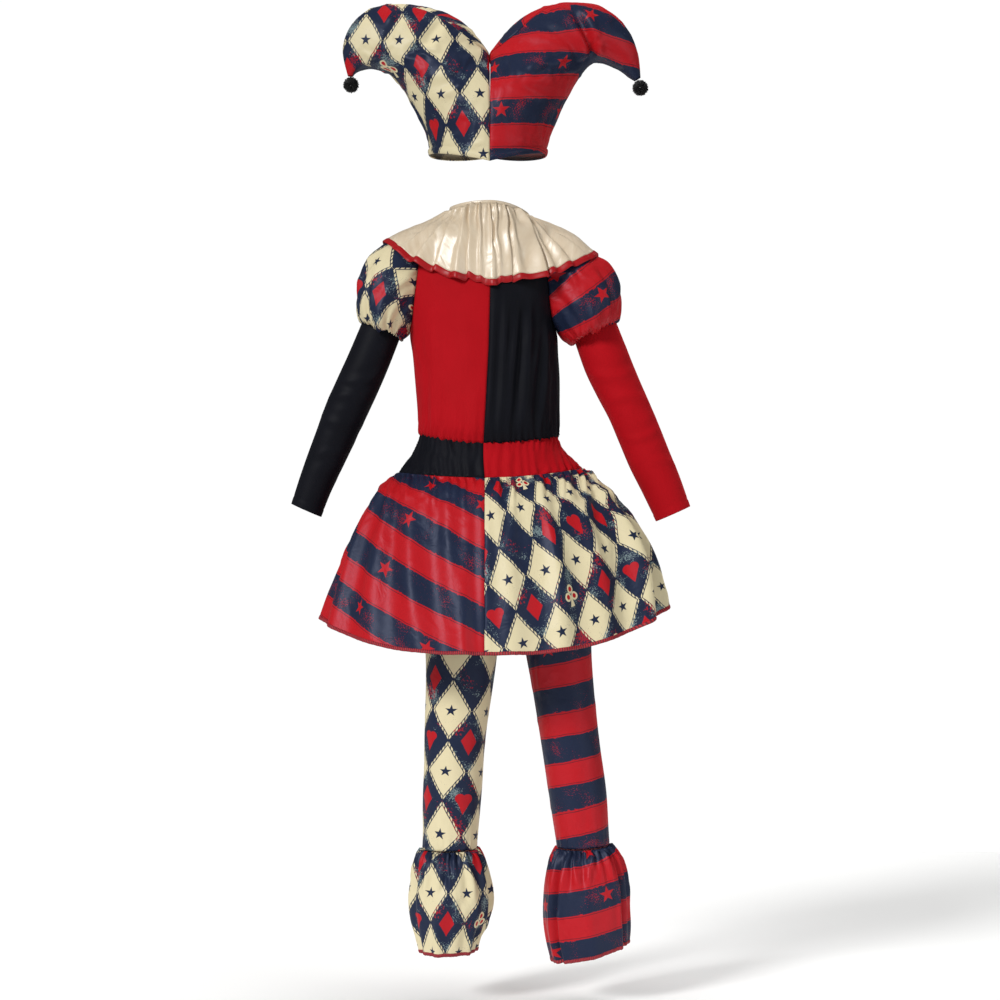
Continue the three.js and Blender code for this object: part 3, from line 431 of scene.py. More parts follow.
def stripedSatin(name, faded=0.0):
    # Ragged red stripes on navy, with a fine dark line inside each edge and stars on some of the navy.
    material, tree, shader = newMaterial(name)
    place = clothPlace(tree)
    period, redWidth = satin["stripePeriod"], satin["redWidth"]
    parts = addNode(tree, "SeparateXYZ", (place,)).node.outputs
    slow = addNode(tree, "TexNoise", {"Vector": place, "Scale": 0.035, "Detail": 1.0})
    line = addNode(tree, "Math", (slow, 3.0, parts[1]), operation="MULTIPLY_ADD")
    rough = addNode(tree, "TexNoise", {"Vector": place, "Scale": 0.16, "Detail": 3.0, "Roughness": 0.75})
    ragged = addNode(tree, "MapRange", (rough, 0.53, 0.72, 0.0, 2.6))
    away = addNode(tree, "Math", (line, period), operation="FLOORED_MODULO")
    away = addNode(tree, "Math", (away, redWidth / 2), operation="SUBTRACT")
    away = addNode(tree, "Math", (away, period / 2), operation="PINGPONG")
    inside = addNode(tree, "Math", (redWidth / 2, away), operation="SUBTRACT")
    red = addNode(tree, "Math", (inside, ragged), operation="ADD")
    red = addNode(tree, "MapRange", (red, -0.3, 0.3), **soft)
    pin = addNode(tree, "Math", (inside, satin["pinIn"]), operation="SUBTRACT")
    pin = addNode(tree, "Math", (pin,), operation="ABSOLUTE")
    pin = addNode(tree, "MapRange", (pin, 0.65, 0.25), **soft)
    # red stars on some of the navy, each moved a little from the middle of its cell
    starStep = (satin["starStep"], period, 1.0)
    cell = addNode(tree, "VectorMath", (place, (30.0, -redWidth / 2, 0)), operation="ADD")
    cell = addNode(tree, "VectorMath", (cell, starStep), operation="DIVIDE")
    count = addNode(tree, "VectorMath", (cell,), operation="FLOOR")
    chance = addNode(tree, "TexWhiteNoise", {"Vector": count}, "Color", noise_dimensions="2D")
    shift = addNode(tree, "VectorMath", (chance, (0.5, 0.5, 0.5)), operation="SUBTRACT")
    shift = addNode(tree, "VectorMath", (shift, (60.0, 5.0, 0)), operation="MULTIPLY")
    local = addNode(tree, "VectorMath", (cell,), operation="FRACTION")
    local = addNode(tree, "VectorMath", (local, halfCell), operation="SUBTRACT")
    local = addNode(tree, "VectorMath", (local, starStep, shift), operation="MULTIPLY_ADD")
    star = starMask(tree, local, satin["stripeStar"])
    some = addNode(tree, "SeparateXYZ", (chance,), 2)
    some = addNode(tree, "Math", (some, 1 - satin["starShare"]), operation="GREATER_THAN")
    star = addNode(tree, "Math", (star, some), operation="MULTIPLY")
    # specks: red on the navy, dark on the red
    patch = addNode(tree, "TexNoise", {"Vector": place, "Scale": 0.028, "Detail": 1.0})
    grain = addNode(tree, "TexNoise", {"Vector": place, "Scale": 0.55, "Detail": 4.0, "Roughness": 0.7})
    speck = addNode(tree, "Math", (patch, 0.55, grain), operation="MULTIPLY_ADD")
    speck = addNode(tree, "MapRange", (speck, 0.915, 0.955, 0.0, 0.8))
    fleck = addNode(tree, "TexNoise", {"Vector": place, "Scale": 0.33, "Detail": 3.0, "Roughness": 0.8})
    fleck = addNode(tree, "MapRange", (fleck, 0.72, 0.74, 0.0, 0.75))
    dark, bright = linear(satin["navy"]), linear(satin["red"])
    for cover in (speck, star):
        dark = addNode(tree, "Mix", {0: cover, 6: dark, 7: linear(satin["red"])}, 2, **paint)
    for cover, ink in ((fleck, "navy"), (pin, "pinLine")):
        bright = addNode(tree, "Mix", {0: cover, 6: bright, 7: linear(satin[ink])}, 2, **paint)
    colour = addNode(tree, "Mix", {0: red, 6: dark, 7: bright}, 2, **paint)
    if faded:
        colour = addNode(tree, "Mix", {0: faded, 6: colour, 7: linear("#a89a98")}, 2, **paint)
    finishSatin(tree, shader, colour, place, 0.3, satin)
    return material


def plainSatin(name, finish):
    # Unprinted satin: the same long floats with nothing over them, so it glints most.
    material, tree, shader = newMaterial(name)
    place = clothPlace(tree)
    cloud = addNode(tree, "VectorMath", (place, (0.09, 0.03, 1.0)), operation="MULTIPLY")
    cloud = addNode(tree, "TexNoise", {"Vector": cloud, "Scale": 1.0, "Detail": 2.0})
    tone = addNode(tree, "Mix", {0: cloud, 6: linear(finish["dark"]), 7: linear(finish["light"])}, 2, **paint)
    finishSatin(tree, shader, tone, place, 0.25, finish)
    return material


def jersey(name, finish):
    # Knitted polyester jersey: matt, with fine upright wales and a soft edge light from its nap.
    material, tree, shader = newMaterial(name)
    place = clothPlace(tree)
    cloud = addNode(tree, "TexNoise", {"Vector": place, "Scale": 0.02, "Detail": 3.0})
    tone = addNode(tree, "Mix", {0: cloud, 6: linear(finish["dark"]), 7: linear(finish["light"])}, 2, **paint)
    # the wales are drawn 1.1 mm apart
    knit = addNode(tree, "VectorMath", (place, (0.9, 0.3, 1.0)), operation="MULTIPLY")
    knit = addNode(tree, "TexNoise", {"Vector": knit, "Scale": 1.0, "Detail": 2.0})
    bump = addNode(tree, "Bump", {"Strength": 0.25, "Distance": 0.0004, "Height": knit})
    setInputs(tree, shader, {
        "Base Color": tone, "Roughness": finish["roughness"], "Sheen Weight": finish["sheen"],
        "Sheen Roughness": 0.5, "Specular IOR Level": finish["gloss"], "Normal": bump,
    })
    return material


def sergedThread(name):
    # Overlock stitching: close slanted loops of red thread with the cloth just showing between.
    material, tree, shader = newMaterial(name)
    wave = {"Vector": clothPlace(tree), "Scale": 0.12, "Distortion": 2.5, "Detail": 2.0}
    loop = addNode(tree, "TexWave", wave, "Fac", bands_direction="X")
    tone = addNode(tree, "Mix", {0: loop, 6: linear("#5d1020"), 7: linear("#b3202a")}, 2, **paint)
    bump = addNode(tree, "Bump", {"Strength": 0.8, "Distance": 0.0006, "Height": loop})
    setInputs(tree, shader, {"Base Color": tone, "Roughness": 0.6, "Normal": bump})
    return material


def woolYarn(name):
    # Acrylic yarn ends: black and matt, with a little edge light from the fibres.
    material, tree, shader = newMaterial(name)
    where = addNode(tree, "TexCoord", (), "Object")
    cloud = addNode(tree, "TexNoise", {"Vector": where, "Scale": 900.0, "Detail": 2.0})
    tone = addNode(tree, "Mix", {0: cloud, 6: linear("#0a0a0c"), 7: linear("#1a191c")}, 2, **paint)
    setInputs(tree, shader, {"Base Color": tone, "Roughness": 0.9, "Sheen Weight": 0.12})
    return material


# each cloth: the face that shows, its reverse and its slot
diamondCloth = (harlequinSatin("harlequinPrintedSatin"), harlequinSatin("harlequinSatinReverse", 0.45),
                "diamond_satin")
stripedCloth = (stripedSatin("stripedPrintedSatin"), stripedSatin("stripedSatinReverse", 0.45),
                "striped_satin")
creamSatin = plainSatin("creamPolyesterSatin", {
    "dark": "#cfb99a", "light": "#e6d8c1", "roughness": 0.34, "gloss": 0.7, "glint": "#ffffff"})
bindingSatin = plainSatin("redBiasBindingSatin", {
    "dark": "#960e15", "light": "#ae131a", "roughness": 0.4, "gloss": 0.3, "glint": "#ffffff"})
redJersey = jersey("redPolyesterJersey", {
    "dark": "#a40712", "light": "#b50b19", "roughness": 0.75, "sheen": 0.02, "gloss": 0.1})
blackJersey = jersey("blackPolyesterJersey", {
    "dark": "#0d0e13", "light": "#16171e", "roughness": 0.55, "sheen": 0.0, "gloss": 0.07})
serging = sergedThread("redOverlockThread")
yarn = woolYarn("blackAcrylicYarn")
creamCloth = (creamSatin, creamSatin, "cream_satin")
print("materials made")


# The two sides and four quarters: -1 is the left side or the back, 1 the right side or the front

sides = {-1: "left", 1: "right"}
quarters = [("back_left", -1, -1), ("back_right", 1, -1), ("front_left", -1, 1), ("front_right", 1, 1)]
jerseyFor = {-1: (redJersey, redJersey, "red_jersey"), 1: (blackJersey, blackJersey, "black_jersey")}
printFor = {-1: diamondCloth, 1: stripedCloth}


def quarterAngles(side, face, u):
    return np.radians(90 * side * u if face < 0 else side * (180 - 90 * u))


def bodyRing(section, angle, rise=2.0):  # section: a table's row; angle from the centre back
    side, back = np.sin(angle), np.cos(angle)
    halfWidth = np.where(side < 0, section["seam"] - section["left"], section["right"] - section["seam"])
    sideZ = np.where(side < 0, section["leftZ"], section["rightZ"])
    depth = np.where(back > 0, section["back"], section["front"])
    return np.stack([section["seam"] + halfWidth * side, -depth * back,
                     section["seamZ"] + (sideZ - section["seamZ"]) * np.abs(side) ** rise], -1)


def lobeRing(section, angle, start):  # a ring between an inner and an outer line, as on horns and legs
    low = math.sin(start)
    share = (np.sin(angle) - low) / (1 - low)
    return np.stack([section["inX"] + (section["outX"] - section["inX"]) * share,
                     -section["depth"] * np.cos(angle),
                     section["inZ"] + (section["outZ"] - section["inZ"]) * share], -1)


# Bodice
# Every "tucks" row holds spacing, height and reach; every "loose" row how many creases, their lean
# and its scatter in degrees, length, width and height. A fold's row ends with width, height and bow.

bodice = {
    "torso": table("""left leftZ seam seamZ right rightZ back front
        -99 -315 -9 -329 96 -319 73 76
        -103 -300 -8 -312 100 -303 82 85
        -106 -270 -6 -278 101 -272 84 88
        -109 -236 -4 -238 101 -236 83 88
        -112 -203 -2 -200 99 -203 83 88"""),
    "chest": table("""climb seam seamZ back front arc
        0 -1 -168 83 88 90
        40 0 -135 83 88 78
        80 1 -98 81 85 68
        120 2 -58 76 76 62
        150 2 -22 64 66 60"""),
    "neck": {"x": -1, "halfWidth": 57, "halfDepth": 52, "backZ": 10, "frontZ": -26, "leftZ": 4, "rightZ": -5},
    "frontNeckDrop": 26,
    "tucks": (10, 2.0, 20), "loose": (12, 0, 25, 70, 6, 0.8),
    "overhang": {"drop": 3.0, "out": 3.2, "reach": 14, "scallop": 1.3},
    # soft folds: mm from the centre seam and up from the waist, to the same, width, height, bow
    "folds": {
        "back_left": [(82, 8, 84, 175, 11, 2.6, -5), (97, 0, 95, 120, 8, -2.2, 3),
                      (14, 0, 18, 80, 9, 1.3, 2),
                      (40, 0, 45, 70, 8, 1.5, -3), (60, 0, 66, 95, 8, 1.4, 3),
                      (30, 90, 44, 190, 14, 1.2, 4)],
        "back_right": [(7, 10, 9, 215, 5, 2.2, 2), (20, 0, 22, 205, 5, 3.8, -2),
                       (34, 0, 40, 160, 6, 3.6, 3),
                       (52, 0, 60, 190, 6, 4.4, -4), (68, 0, 78, 150, 6, 3.6, 4),
                       (84, 0, 94, 170, 6, 3.8, -3),
                       (45, 60, 52, 200, 5, -2.4, 2), (100, 0, 104, 110, 6, 3.0, 2)],
        "front_left": [(18, 0, 26, 110, 9, 2.0, 3), (42, 0, 52, 140, 9, 2.2, -4),
                       (66, 0, 78, 120, 8, 2.2, 3),
                       (90, 0, 100, 160, 8, 2.4, -3), (30, 120, 60, 200, 12, 1.5, 4)],
        "front_right": [(14, 0, 20, 130, 8, 2.2, -3), (36, 0, 44, 150, 8, 2.4, 3),
                        (58, 0, 68, 120, 8, 2.2, -3),
                        (80, 0, 90, 170, 8, 2.4, 4), (28, 110, 52, 195, 12, 1.5, -4)],
    },
}
armholes = {
    -1: {"topX": -97, "topZ": -14, "lowX": -116, "lowZ": -174, "halfDepth": 45, "hollow": 2},
    1: {"topX": 90, "topZ": -14, "lowX": 97, "lowZ": -172, "halfDepth": 45, "hollow": 11},
}


def armholePoint(side, face, climb):
    hole, turn = armholes[side], np.radians(climb)
    low = (1 + np.cos(turn)) / 2
    return np.stack([
        hole["topX"] + (hole["lowX"] - hole["topX"]) * low - side * hole["hollow"] * np.sin(turn),
        face * hole["halfDepth"] * np.sin(turn),
        hole["topZ"] + (hole["lowZ"] - hole["topZ"]) * low,
    ], -1)


def neckRing(angle, grow, lift):
    neck, side, back = bodice["neck"], np.sin(angle), np.cos(angle)
    sideZ = np.where(side < 0, neck["leftZ"], neck["rightZ"])
    endZ = np.where(back > 0, neck["backZ"], neck["frontZ"])
    return np.stack([neck["x"] + (neck["halfWidth"] + grow) * side, -(neck["halfDepth"] + grow) * back,
                     sideZ * side ** 2 + endZ * back ** 2 + lift], -1)


def bodiceRows(side, face, u):  # from the waist up: torso, chest as high as the armhole, neck and shoulder
    rows = [bodyRing(section, quarterAngles(side, face, u)) for section in rowsOf(bodice["torso"])]
    last = len(rows) + len(bodice["chest"]["climb"])
    for section in rowsOf(bodice["chest"]):
        arc = math.radians(section["arc"])
        outer = armholePoint(side, face, np.array(section["climb"]))
        drop = bodice["frontNeckDrop"] * (len(rows) / last) ** 3 if face > 0 else 0
        depth = face * (section["back"] if face < 0 else section["front"])
        bend = (np.cos(u * arc) - math.cos(arc)) / (1 - math.cos(arc))
        rows.append(np.stack([
            section["seam"] + (outer[0] - section["seam"]) * np.sin(u * arc) / math.sin(arc),
            outer[1] + (depth - outer[1]) * bend,
            section["seamZ"] - drop + (outer[2] - section["seamZ"] + drop) * u ** 2,
        ], -1))
    neckPart = neckRing(quarterAngles(side, face, np.minimum(2 * u, 1)), 0.0, 0.0)
    shoulder = armholePoint(side, face, np.array(180.0))
    along = np.clip(2 * u - 1, 0, 1)[:, None]
    rows.append(neckPart * (1 - along) + shoulder * along)
    return np.array(rows)


def makeBodice():
    shells, over = [], bodice["overhang"]
    for name, side, face in quarters:
        u = np.linspace(0, 1, 57)
        points = loft(bodiceRows(side, face, u), 120)
        across, up = arcFrom(points)
        seed = 20 + side + 2 * face
        height = gathers(across, up, seed, *bodice["tucks"]) + creases(across, up, bodice["folds"][name])
        height += looseCreases(across, up, seed + 30, *bodice["loose"])
        hold = smoothStep(0, 7, across) * smoothStep(0, 0.08, 1 - u)[None, :]
        hold = hold * smoothStep(0, 12, up.max(0) - up + 3)
        near = np.exp(-up / over["reach"])
        height = height * hold + over["out"] * near * smoothStep(-2, 4, up) - dip(across, 0.9, 2.0)
        points = leanOver(raised(points, False, height), 0.3 * (height * hold))
        scallop = over["scallop"] * wander(across, seed + 2, bodice["tucks"][0])
        points[..., 2] -= (over["drop"] + scallop) * np.exp(-up / 5)
        makeCloth("bodice_" + name, jerseyFor[side], points, np.stack([side * across, up], -1))
        shells.append((points, False))
    return shells


# Collar

collar = {
    "x": 2, "left": 151, "right": 150, "back": 106, "front": 110,
    "leftZ": -21, "rightZ": -37, "backZ": -76, "frontZ": -104, "lift": 12,
    "tucks": (6.5, 3.0, 22),  # in degrees round, mm, and hundredths of the way out
    "gaps": (3.0, 2.4),  # how far it is kept from the cloth below, at the first and the second look
    "binding": {"sides": 14, "middle": 4.6, "reach": 4.8, "puff": 1.15, "wander": 0.25},
    "band": {"width": 6.5, "swell": 0.5, "ripple": 0.35, "radius": 58},
    # soft folds: degrees round from the centre back at the neck and the edge, how far out they start,
    # half width in degrees, height, how far they lie over to one side and how much lower they hang
    "folds": table("""at edge from width height lean dip
        -82 -80 0.10 8.0 5 0.0 0
        -66 -64 -0.05 4.0 11 -0.2 1
        -54 -51 -0.10 4.2 16 0.2 3
        -43 -38 -0.15 3.4 13 -0.2 0
        -33 -25 -0.15 4.6 21 0.3 9
        -22 -15 -0.30 3.0 14 -0.2 -2
        -13 -8 -0.30 2.2 8 0.1 0
        1 1 -0.08 4.4 20 0.1 11
        10 9 -0.30 2.6 9 -0.1 0
        20 15 -0.30 2.6 11 0.2 1
        30 23 -0.15 3.8 16 -0.3 3
        42 33 -0.15 4.6 22 0.3 9
        52 44 -0.20 3.4 13 -0.2 1
        60 55 -0.10 4.2 16 -0.3 2
        71 66 -0.10 4.0 12 0.2 3
        79 76 0.10 6.5 6 0.0 3
        104 101 0.10 6.5 8 -0.3 4
        124 128 0.00 5.0 12 0.3 6
        143 140 0.00 4.0 9 -0.3 0
        160 163 0.00 4.4 14 0.3 7
        179 176 0.00 3.8 10 -0.3 2
        197 199 0.00 4.6 15 0.3 8
        216 214 0.00 4.5 9 -0.3 0
        236 240 0.00 6.0 12 0.3 5
        258 259 0.10 8.0 6 0.0 2"""),
}


def collarSurface(angle, share):  # share: 0 at the neck, 1 at the bound edge
    inside = neckRing(angle, 1.6, 3.0)
    side, back = np.sin(angle), np.cos(angle)
    edgeZ = np.where(side < 0, collar["leftZ"], collar["rightZ"])
    endZ = np.where(back > 0, collar["backZ"], collar["frontZ"])
    outside = np.stack([collar["x"] + np.where(side < 0, collar["left"], collar["right"]) * side,
                        -np.where(back > 0, collar["back"], collar["front"]) * back,
                        edgeZ + (endZ - edgeZ) * back ** 2], -1)
    slope = outside - inside
    length = np.linalg.norm(slope, axis=-1, keepdims=True)
    flatOut = slope * [1, 1, 0]
    reach = np.linalg.norm(flatOut, axis=-1, keepdims=True)
    up = np.concatenate([-slope[..., 2:] * flatOut[..., :2] / reach, reach], -1) / length
    degrees = np.degrees(angle)
    height = collar["lift"] * np.sin(np.pi * np.clip(share, 0, 1))
    aside, hang = np.zeros(share.shape), np.zeros(share.shape)
    for fold in rowsOf(collar["folds"]):
        off = (degrees - fold["at"] - (fold["edge"] - fold["at"]) * share + 180) % 360 - 180
        grow = smoothStep(fold["from"], fold["from"] + 0.55, share) * (0.45 + 0.55 * np.abs(back))
        ridge = np.exp(-(off / (fold["width"] * (0.62 + 0.58 * share))) ** 2)
        height = height + fold["height"] * grow * (ridge - fold["width"] / 28)
        aside = aside + fold["height"] * fold["lean"] * grow * ridge
        hang = hang + fold["dip"] * share ** 2 * ridge
    tuck = gathers(degrees, share * 100, 5, *collar["tucks"])
    height = height + tuck * smoothStep(0, 0.05, share) * smoothStep(0, 9, 180 - np.abs(degrees))
    along = np.stack([back, side, 0 * side], -1)
    return inside + slope * (share[..., None] + hang[..., None] / length) + up * height[..., None] \
        + along * aside[..., None]


def makeBinding(points):  # bias binding folded over the edge: a flattened tube along the collar's last row
    shape, edge = collar["binding"], points[-1]
    out = unit(edge - points[-2])
    face = np.cross(out, unit(np.roll(edge, -1, 0) - np.roll(edge, 1, 0)))
    puff = shape["puff"] + shape["wander"] * wander(np.arange(len(edge)), 3, 23)
    rings = []
    for turn in np.linspace(0, 2 * np.pi, shape["sides"] + 1)[:-1]:
        flatness = np.sign(math.cos(turn)) * abs(math.cos(turn)) ** 0.6
        rings.append(edge + out * (shape["middle"] + shape["reach"] * flatness)
                     + face * (puff * math.sin(turn))[:, None] - face * 0.3)
    strip = makeRoll("collar_binding_satin", rings, True, (2.2, 1), bindingSatin)
    return dress(strip, "collar_binding")


def makeNeckBand():
    band, columns = collar["band"], 241
    degrees, rise = np.linspace(-180, 180, columns), np.linspace(0, band["width"], 8)[:, None]
    angles, rises = np.broadcast_arrays(np.radians(degrees[:-1])[None, :], rise)
    points = neckRing(angles, 0.4 + band["swell"] * np.sin(np.pi * rises / band["width"]), rises)
    ripple = band["ripple"] * np.sin(np.degrees(angles) * 1.7) * np.sin(np.pi * rises / band["width"])
    flat = np.stack(np.broadcast_arrays(np.radians(degrees)[None, :] * band["radius"], rise), -1)
    return makeCloth("neck_binding", creamCloth, raised(points, True, ripple), flat, closed=True,
                     thickness=1.1, name="neck_band")


def makeCollar(below):
    columns, rows = 481, 44
    degrees = np.linspace(-180, 180, columns)
    shares = (np.linspace(0, 1, rows) ** 0.9)[:, None]
    angles, shares = np.broadcast_arrays(np.radians(degrees[:-1])[None, :], shares)
    points = collarSurface(angles, shares)
    for gap in collar["gaps"]:
        points = keepOff(points, below, gap)
    radius = 60 + shares[:, :1] * 100
    flat = np.stack(np.broadcast_arrays(np.radians(degrees)[None, :] * radius * 1.2, shares[:, :1] * 110), -1)
    body = makeCloth("collar", creamCloth, points, flat, closed=True, thickness=0.9)
    sewnOn = [makeBinding(points), makeNeckBand()]


under = makeBodice()
print("bodice made")


# Sleeves

sleeves = {
    "lean": 24,
    "puff": {
        -1: table("""outX outZ inX inZ depth
            -127 -26 -119 -175 56
            -153 -41 -122 -177 62
            -173 -63 -125 -179 65
            -187 -93 -127 -180 65
            -193 -123 -128 -181 61
            -192 -145 -128 -181 52
            -188 -154 -128 -179 38"""),
        1: table("""outX outZ inX inZ depth
            121 -31 100 -175 56
            147 -53 104 -180 62
            169 -70 108 -183 65
            183 -92 112 -185 66
            190 -117 115 -187 63
            190 -138 118 -188 55
            186 -153 120 -186 42"""),
    },
    "arm": {
        -1: table("""x y z radius
            -156 0 -162 29.7
            -177 2 -213 30.6
            -195 4 -253 31
            -211 6 -288 30.6
            -226 9 -324 28.8
            -241 12 -359 27
            -255 14 -393 25
            -267.5 16 -428 23.6"""),
        1: table("""x y z radius
            151 0 -164 33
            169 2 -212 34.2
            185 4 -248 33
            202 6 -283 31.6
            217 9 -318 31.6
            232 12 -354 31.2
            249 14 -391 29.6
            266.5 16 -433 27"""),
    },
    "puffCut": 350, "armCut": 190,
    "topTucks": (350 / 30, 2.2, 18), "cuffTucks": (350 / 38, 2.8, 20), "puffLoose": (26, 0, 26, 60, 5, 1.6),
    "armLoose": (16, 80, 25, 45, 8, 0.6), "armHem": 11,
    "puffPrint": {-1: {"tilt": -14.4, "shift": (19.8, -116.3)}, 1: {"tilt": -1.5, "shift": (0, -78.9)}},
    # folds of the puffs: mm round from the outside (back at three quarters) and down, then as above
    "puffFolds": {
        -1: [(262, 150, 250, 60, 9, 5.5, 6), (290, 158, 300, 90, 7, -4.5, -4),
             (226, 150, 205, 80, 8, 4.5, -5),
             (320, 150, 335, 70, 8, 5.0, 5), (190, 150, 170, 70, 9, 4.0, 4), (270, 4, 262, 60, 7, 3.0, 4),
             (240, 4, 225, 55, 7, -2.5, 3), (60, 150, 80, 70, 9, 5.0, 4), (100, 150, 110, 60, 8, -4.0, 3),
             (130, 150, 140, 80, 8, 4.5, -4), (20, 150, 25, 75, 9, 4.0, 4)],
        1: [(262, 150, 245, 70, 9, 4.5, 6), (292, 158, 305, 85, 7, -4.5, 4),
            (228, 150, 210, 75, 8, 4.0, -5),
            (322, 150, 332, 80, 8, 4.5, 5), (194, 150, 172, 75, 9, 4.0, 4), (275, 4, 270, 55, 7, 3.0, -4),
            (245, 4, 232, 60, 7, -2.5, 3), (60, 150, 84, 70, 9, 5.0, 4), (102, 150, 108, 65, 8, -4.0, 3),
            (134, 150, 144, 80, 8, 4.5, -4), (18, 150, 22, 75, 9, 4.0, 4)],
    },
    "armCreases": {  # from, to (mm round from the outside, mm down), width, height, bow
        -1: [(20, 60, 75, 95, 6, 2.2, 8), (10, 110, 80, 125, 7, 2.4, -8), (30, 150, 95, 150, 6, 2.0, 6),
             (15, 190, 70, 215, 6, 1.6, -5), (100, 90, 160, 120, 7, 1.8, 6),
             (110, 150, 170, 165, 6, 1.8, -6)],
        1: [(15, 55, 80, 80, 7, 2.2, 8), (25, 105, 90, 135, 7, 2.4, -7), (20, 165, 85, 170, 6, 2.0, 6),
            (40, 210, 95, 235, 6, 1.6, -5), (110, 95, 170, 110, 7, 1.8, 6),
            (115, 160, 180, 175, 6, 1.8, -6)],
    },
}


def sleeveRing(side, row, turn):
    lean = math.radians(sleeves["lean"])
    out = np.array([side * math.cos(lean), 0, math.sin(lean)])
    centre = np.array([row["x"], row["y"], row["z"]])
    return centre + row["radius"] * (np.cos(turn)[:, None] * out + np.sin(turn)[:, None] * [0, 1, 0])


def armholeRing(side, turn):  # the bodice's own edge, read round the armhole
    climb = 180 - np.abs((np.degrees(turn) + 180) % 360 - 180)
    climbs = np.append(bodice["chest"]["climb"], 180)
    place = len(bodice["torso"]["left"]) + np.interp(climb, climbs, np.arange(len(climbs)))
    ring = np.zeros((len(turn), 3))
    for face in (-1, 1):
        chosen = np.sin(turn) * face >= 0
        ring[chosen] = splineAt(bodiceRows(side, face, np.array([1.0]))[:, 0], place)[chosen]
    return ring


def makePuff(side, word):  # from the armhole down to the top of the plain sleeve
    turn = np.linspace(0, 2 * np.pi, 181)[:-1]
    rings = [armholeRing(side, turn)]
    for row in rowsOf(sleeves["puff"][side]):
        middle = np.array([(row["outX"] + row["inX"]) / 2, 0, (row["outZ"] + row["inZ"]) / 2])
        reach = np.array([(row["outX"] - row["inX"]) / 2, 0, (row["outZ"] - row["inZ"]) / 2])
        rings.append(middle + np.cos(turn)[:, None] * reach + np.sin(turn)[:, None] * [0, row["depth"], 0])
    rings.append(sleeveRing(side, rowsOf(sleeves["arm"][side])[0], turn))
    points = loft(rings, 84)
    across, down = arcFrom(closeRing(points))
    cut, down = sleeves["puffCut"], down[:, :-1]
    wide = across / across[:, -1:] * cut
    around, left = wide[:, :-1], down.max(0) - down
    upper = (1 + np.cos(turn)) / 2
    height = gathers(around, down, 40 + side, *sleeves["topTucks"]) * upper * smoothStep(0, 5, down)
    height += gathers(around, left, 50 + side, *sleeves["cuffTucks"]) * smoothStep(0, 4, left)
    height += creases(around, down, sleeves["puffFolds"][side]) * smoothStep(0, 8, down) \
        * smoothStep(0, 6, left)
    height += looseCreases(around, down, 60 + side, *sleeves["puffLoose"]) * smoothStep(0, 18, down) \
        * smoothStep(0, 14, left)
    points = raised(points, True, height - dip(down, 0.8, 2.5))
    flat = turned(np.stack([side * (wide - cut * 0.75), closeRing(left)], -1), **sleeves["puffPrint"][side])
    makeCloth("puff_" + word, printFor[side], points, flat, closed=True)
    return points, True


def makeSleeve(side, word):
    turn = np.linspace(0, 2 * np.pi, 97)[:-1]
    points = loft([sleeveRing(side, row, turn) for row in rowsOf(sleeves["arm"][side])], 110)
    down, cut = arcFrom(points)[1], sleeves["armCut"]
    around, left = np.broadcast_to(turn / (2 * np.pi) * cut, down.shape), down.max(0) - down
    height = 0.6 * creases((around + cut / 2) % cut, down, sleeves["armCreases"][side])
    height += looseCreases(around, down, 70 + side, *sleeves["armLoose"])
    height *= smoothStep(0, 15, left) * smoothStep(0, 12, down) * smoothStep(0, 8, around) \
        * smoothStep(cut, cut - 8, around)
    height -= dip(left - sleeves["armHem"], 0.5, 0.9)  # the stitched line of the turned hem
    height += 0.35 * smoothStep(sleeves["armHem"] + 1, sleeves["armHem"] - 1, left)
    wide = np.linspace(0, cut, len(turn) + 1)[None, :]
    flat = np.stack(np.broadcast_arrays(wide, closeRing(-down)), -1)
    makeCloth("sleeve_" + word, jerseyFor[-side], raised(points, True, height), flat, closed=True)


for side, word in sides.items():
    under.append(makePuff(side, word))
    makeSleeve(side, word)
makeCollar(under)
print("sleeves and collar made")


# Hip yoke and skirt

hips = {
    "yoke": table("""left leftZ seam seamZ right rightZ back front
        -99 -315 -9 -329 96 -319 73 76
        -112 -345 -9 -354 108 -342 86 86
        -132 -373 -7 -381 134 -367 98 98"""),
    "skirt": table("""left leftZ seam seamZ right rightZ back front
        -132 -373 -7 -381 134 -367 98 98
        -157 -392 -7 -400 155 -381 121 119
        -173 -416 -7 -430 177 -405 139 135
        -190 -449 -7 -471 202 -437 155 151
        -206 -484 -7 -512 223 -472 169 165
        -221 -520 -7 -552 239 -504 180 176
        -235 -553 -7 -591 250 -533 188 184
        -246 -583 -7 -627 259 -563 194 190"""),
    "sectorDegrees": 21,
    "print": {-1: {"tilt": 24.5, "shift": (0, 44.3)}, 1: {"tilt": -14.6, "shift": (9.7, 167.9)}},
    # folds: share across at the top and at the hem, where it starts down, half width in shares,
    # height in mm and how far it lies over to one side
    "folds": {
        -1: table("""top hem from width height lean
            0.09 0.07 0.10 0.045 8 -0.2
            0.26 0.08 0.00 0.060 9 0.2
            0.50 0.24 0.00 0.080 15 -0.4
            0.70 0.46 0.00 0.085 15 -0.3
            0.86 0.70 0.00 0.075 17 -0.4
            0.96 0.90 0.05 0.060 11 -0.2"""),
        1: table("""top hem from width height lean
            0.10 0.09 0.05 0.050 8 0.3
            0.33 0.27 0.00 0.050 13 -0.5
            0.54 0.44 0.05 0.060 11 0.4
            0.78 0.62 0.00 0.045 17 1.2
            0.94 0.81 0.00 0.055 14 0.5"""),
    },
    "tucks": (13, 3.4, 26), "puckers": (37, 3.6, 70), "loose": (14, 0, 35, 50, 8, 1.1),
    "yokeTucks": (10, 1.6, 20), "yokeLowTucks": (15, 2.4, 26), "yokeLoose": (12, 0, 14, 42, 4, 1.6),
    "hem": {"width": 4.5, "step": (2.5, 1.6)},
}


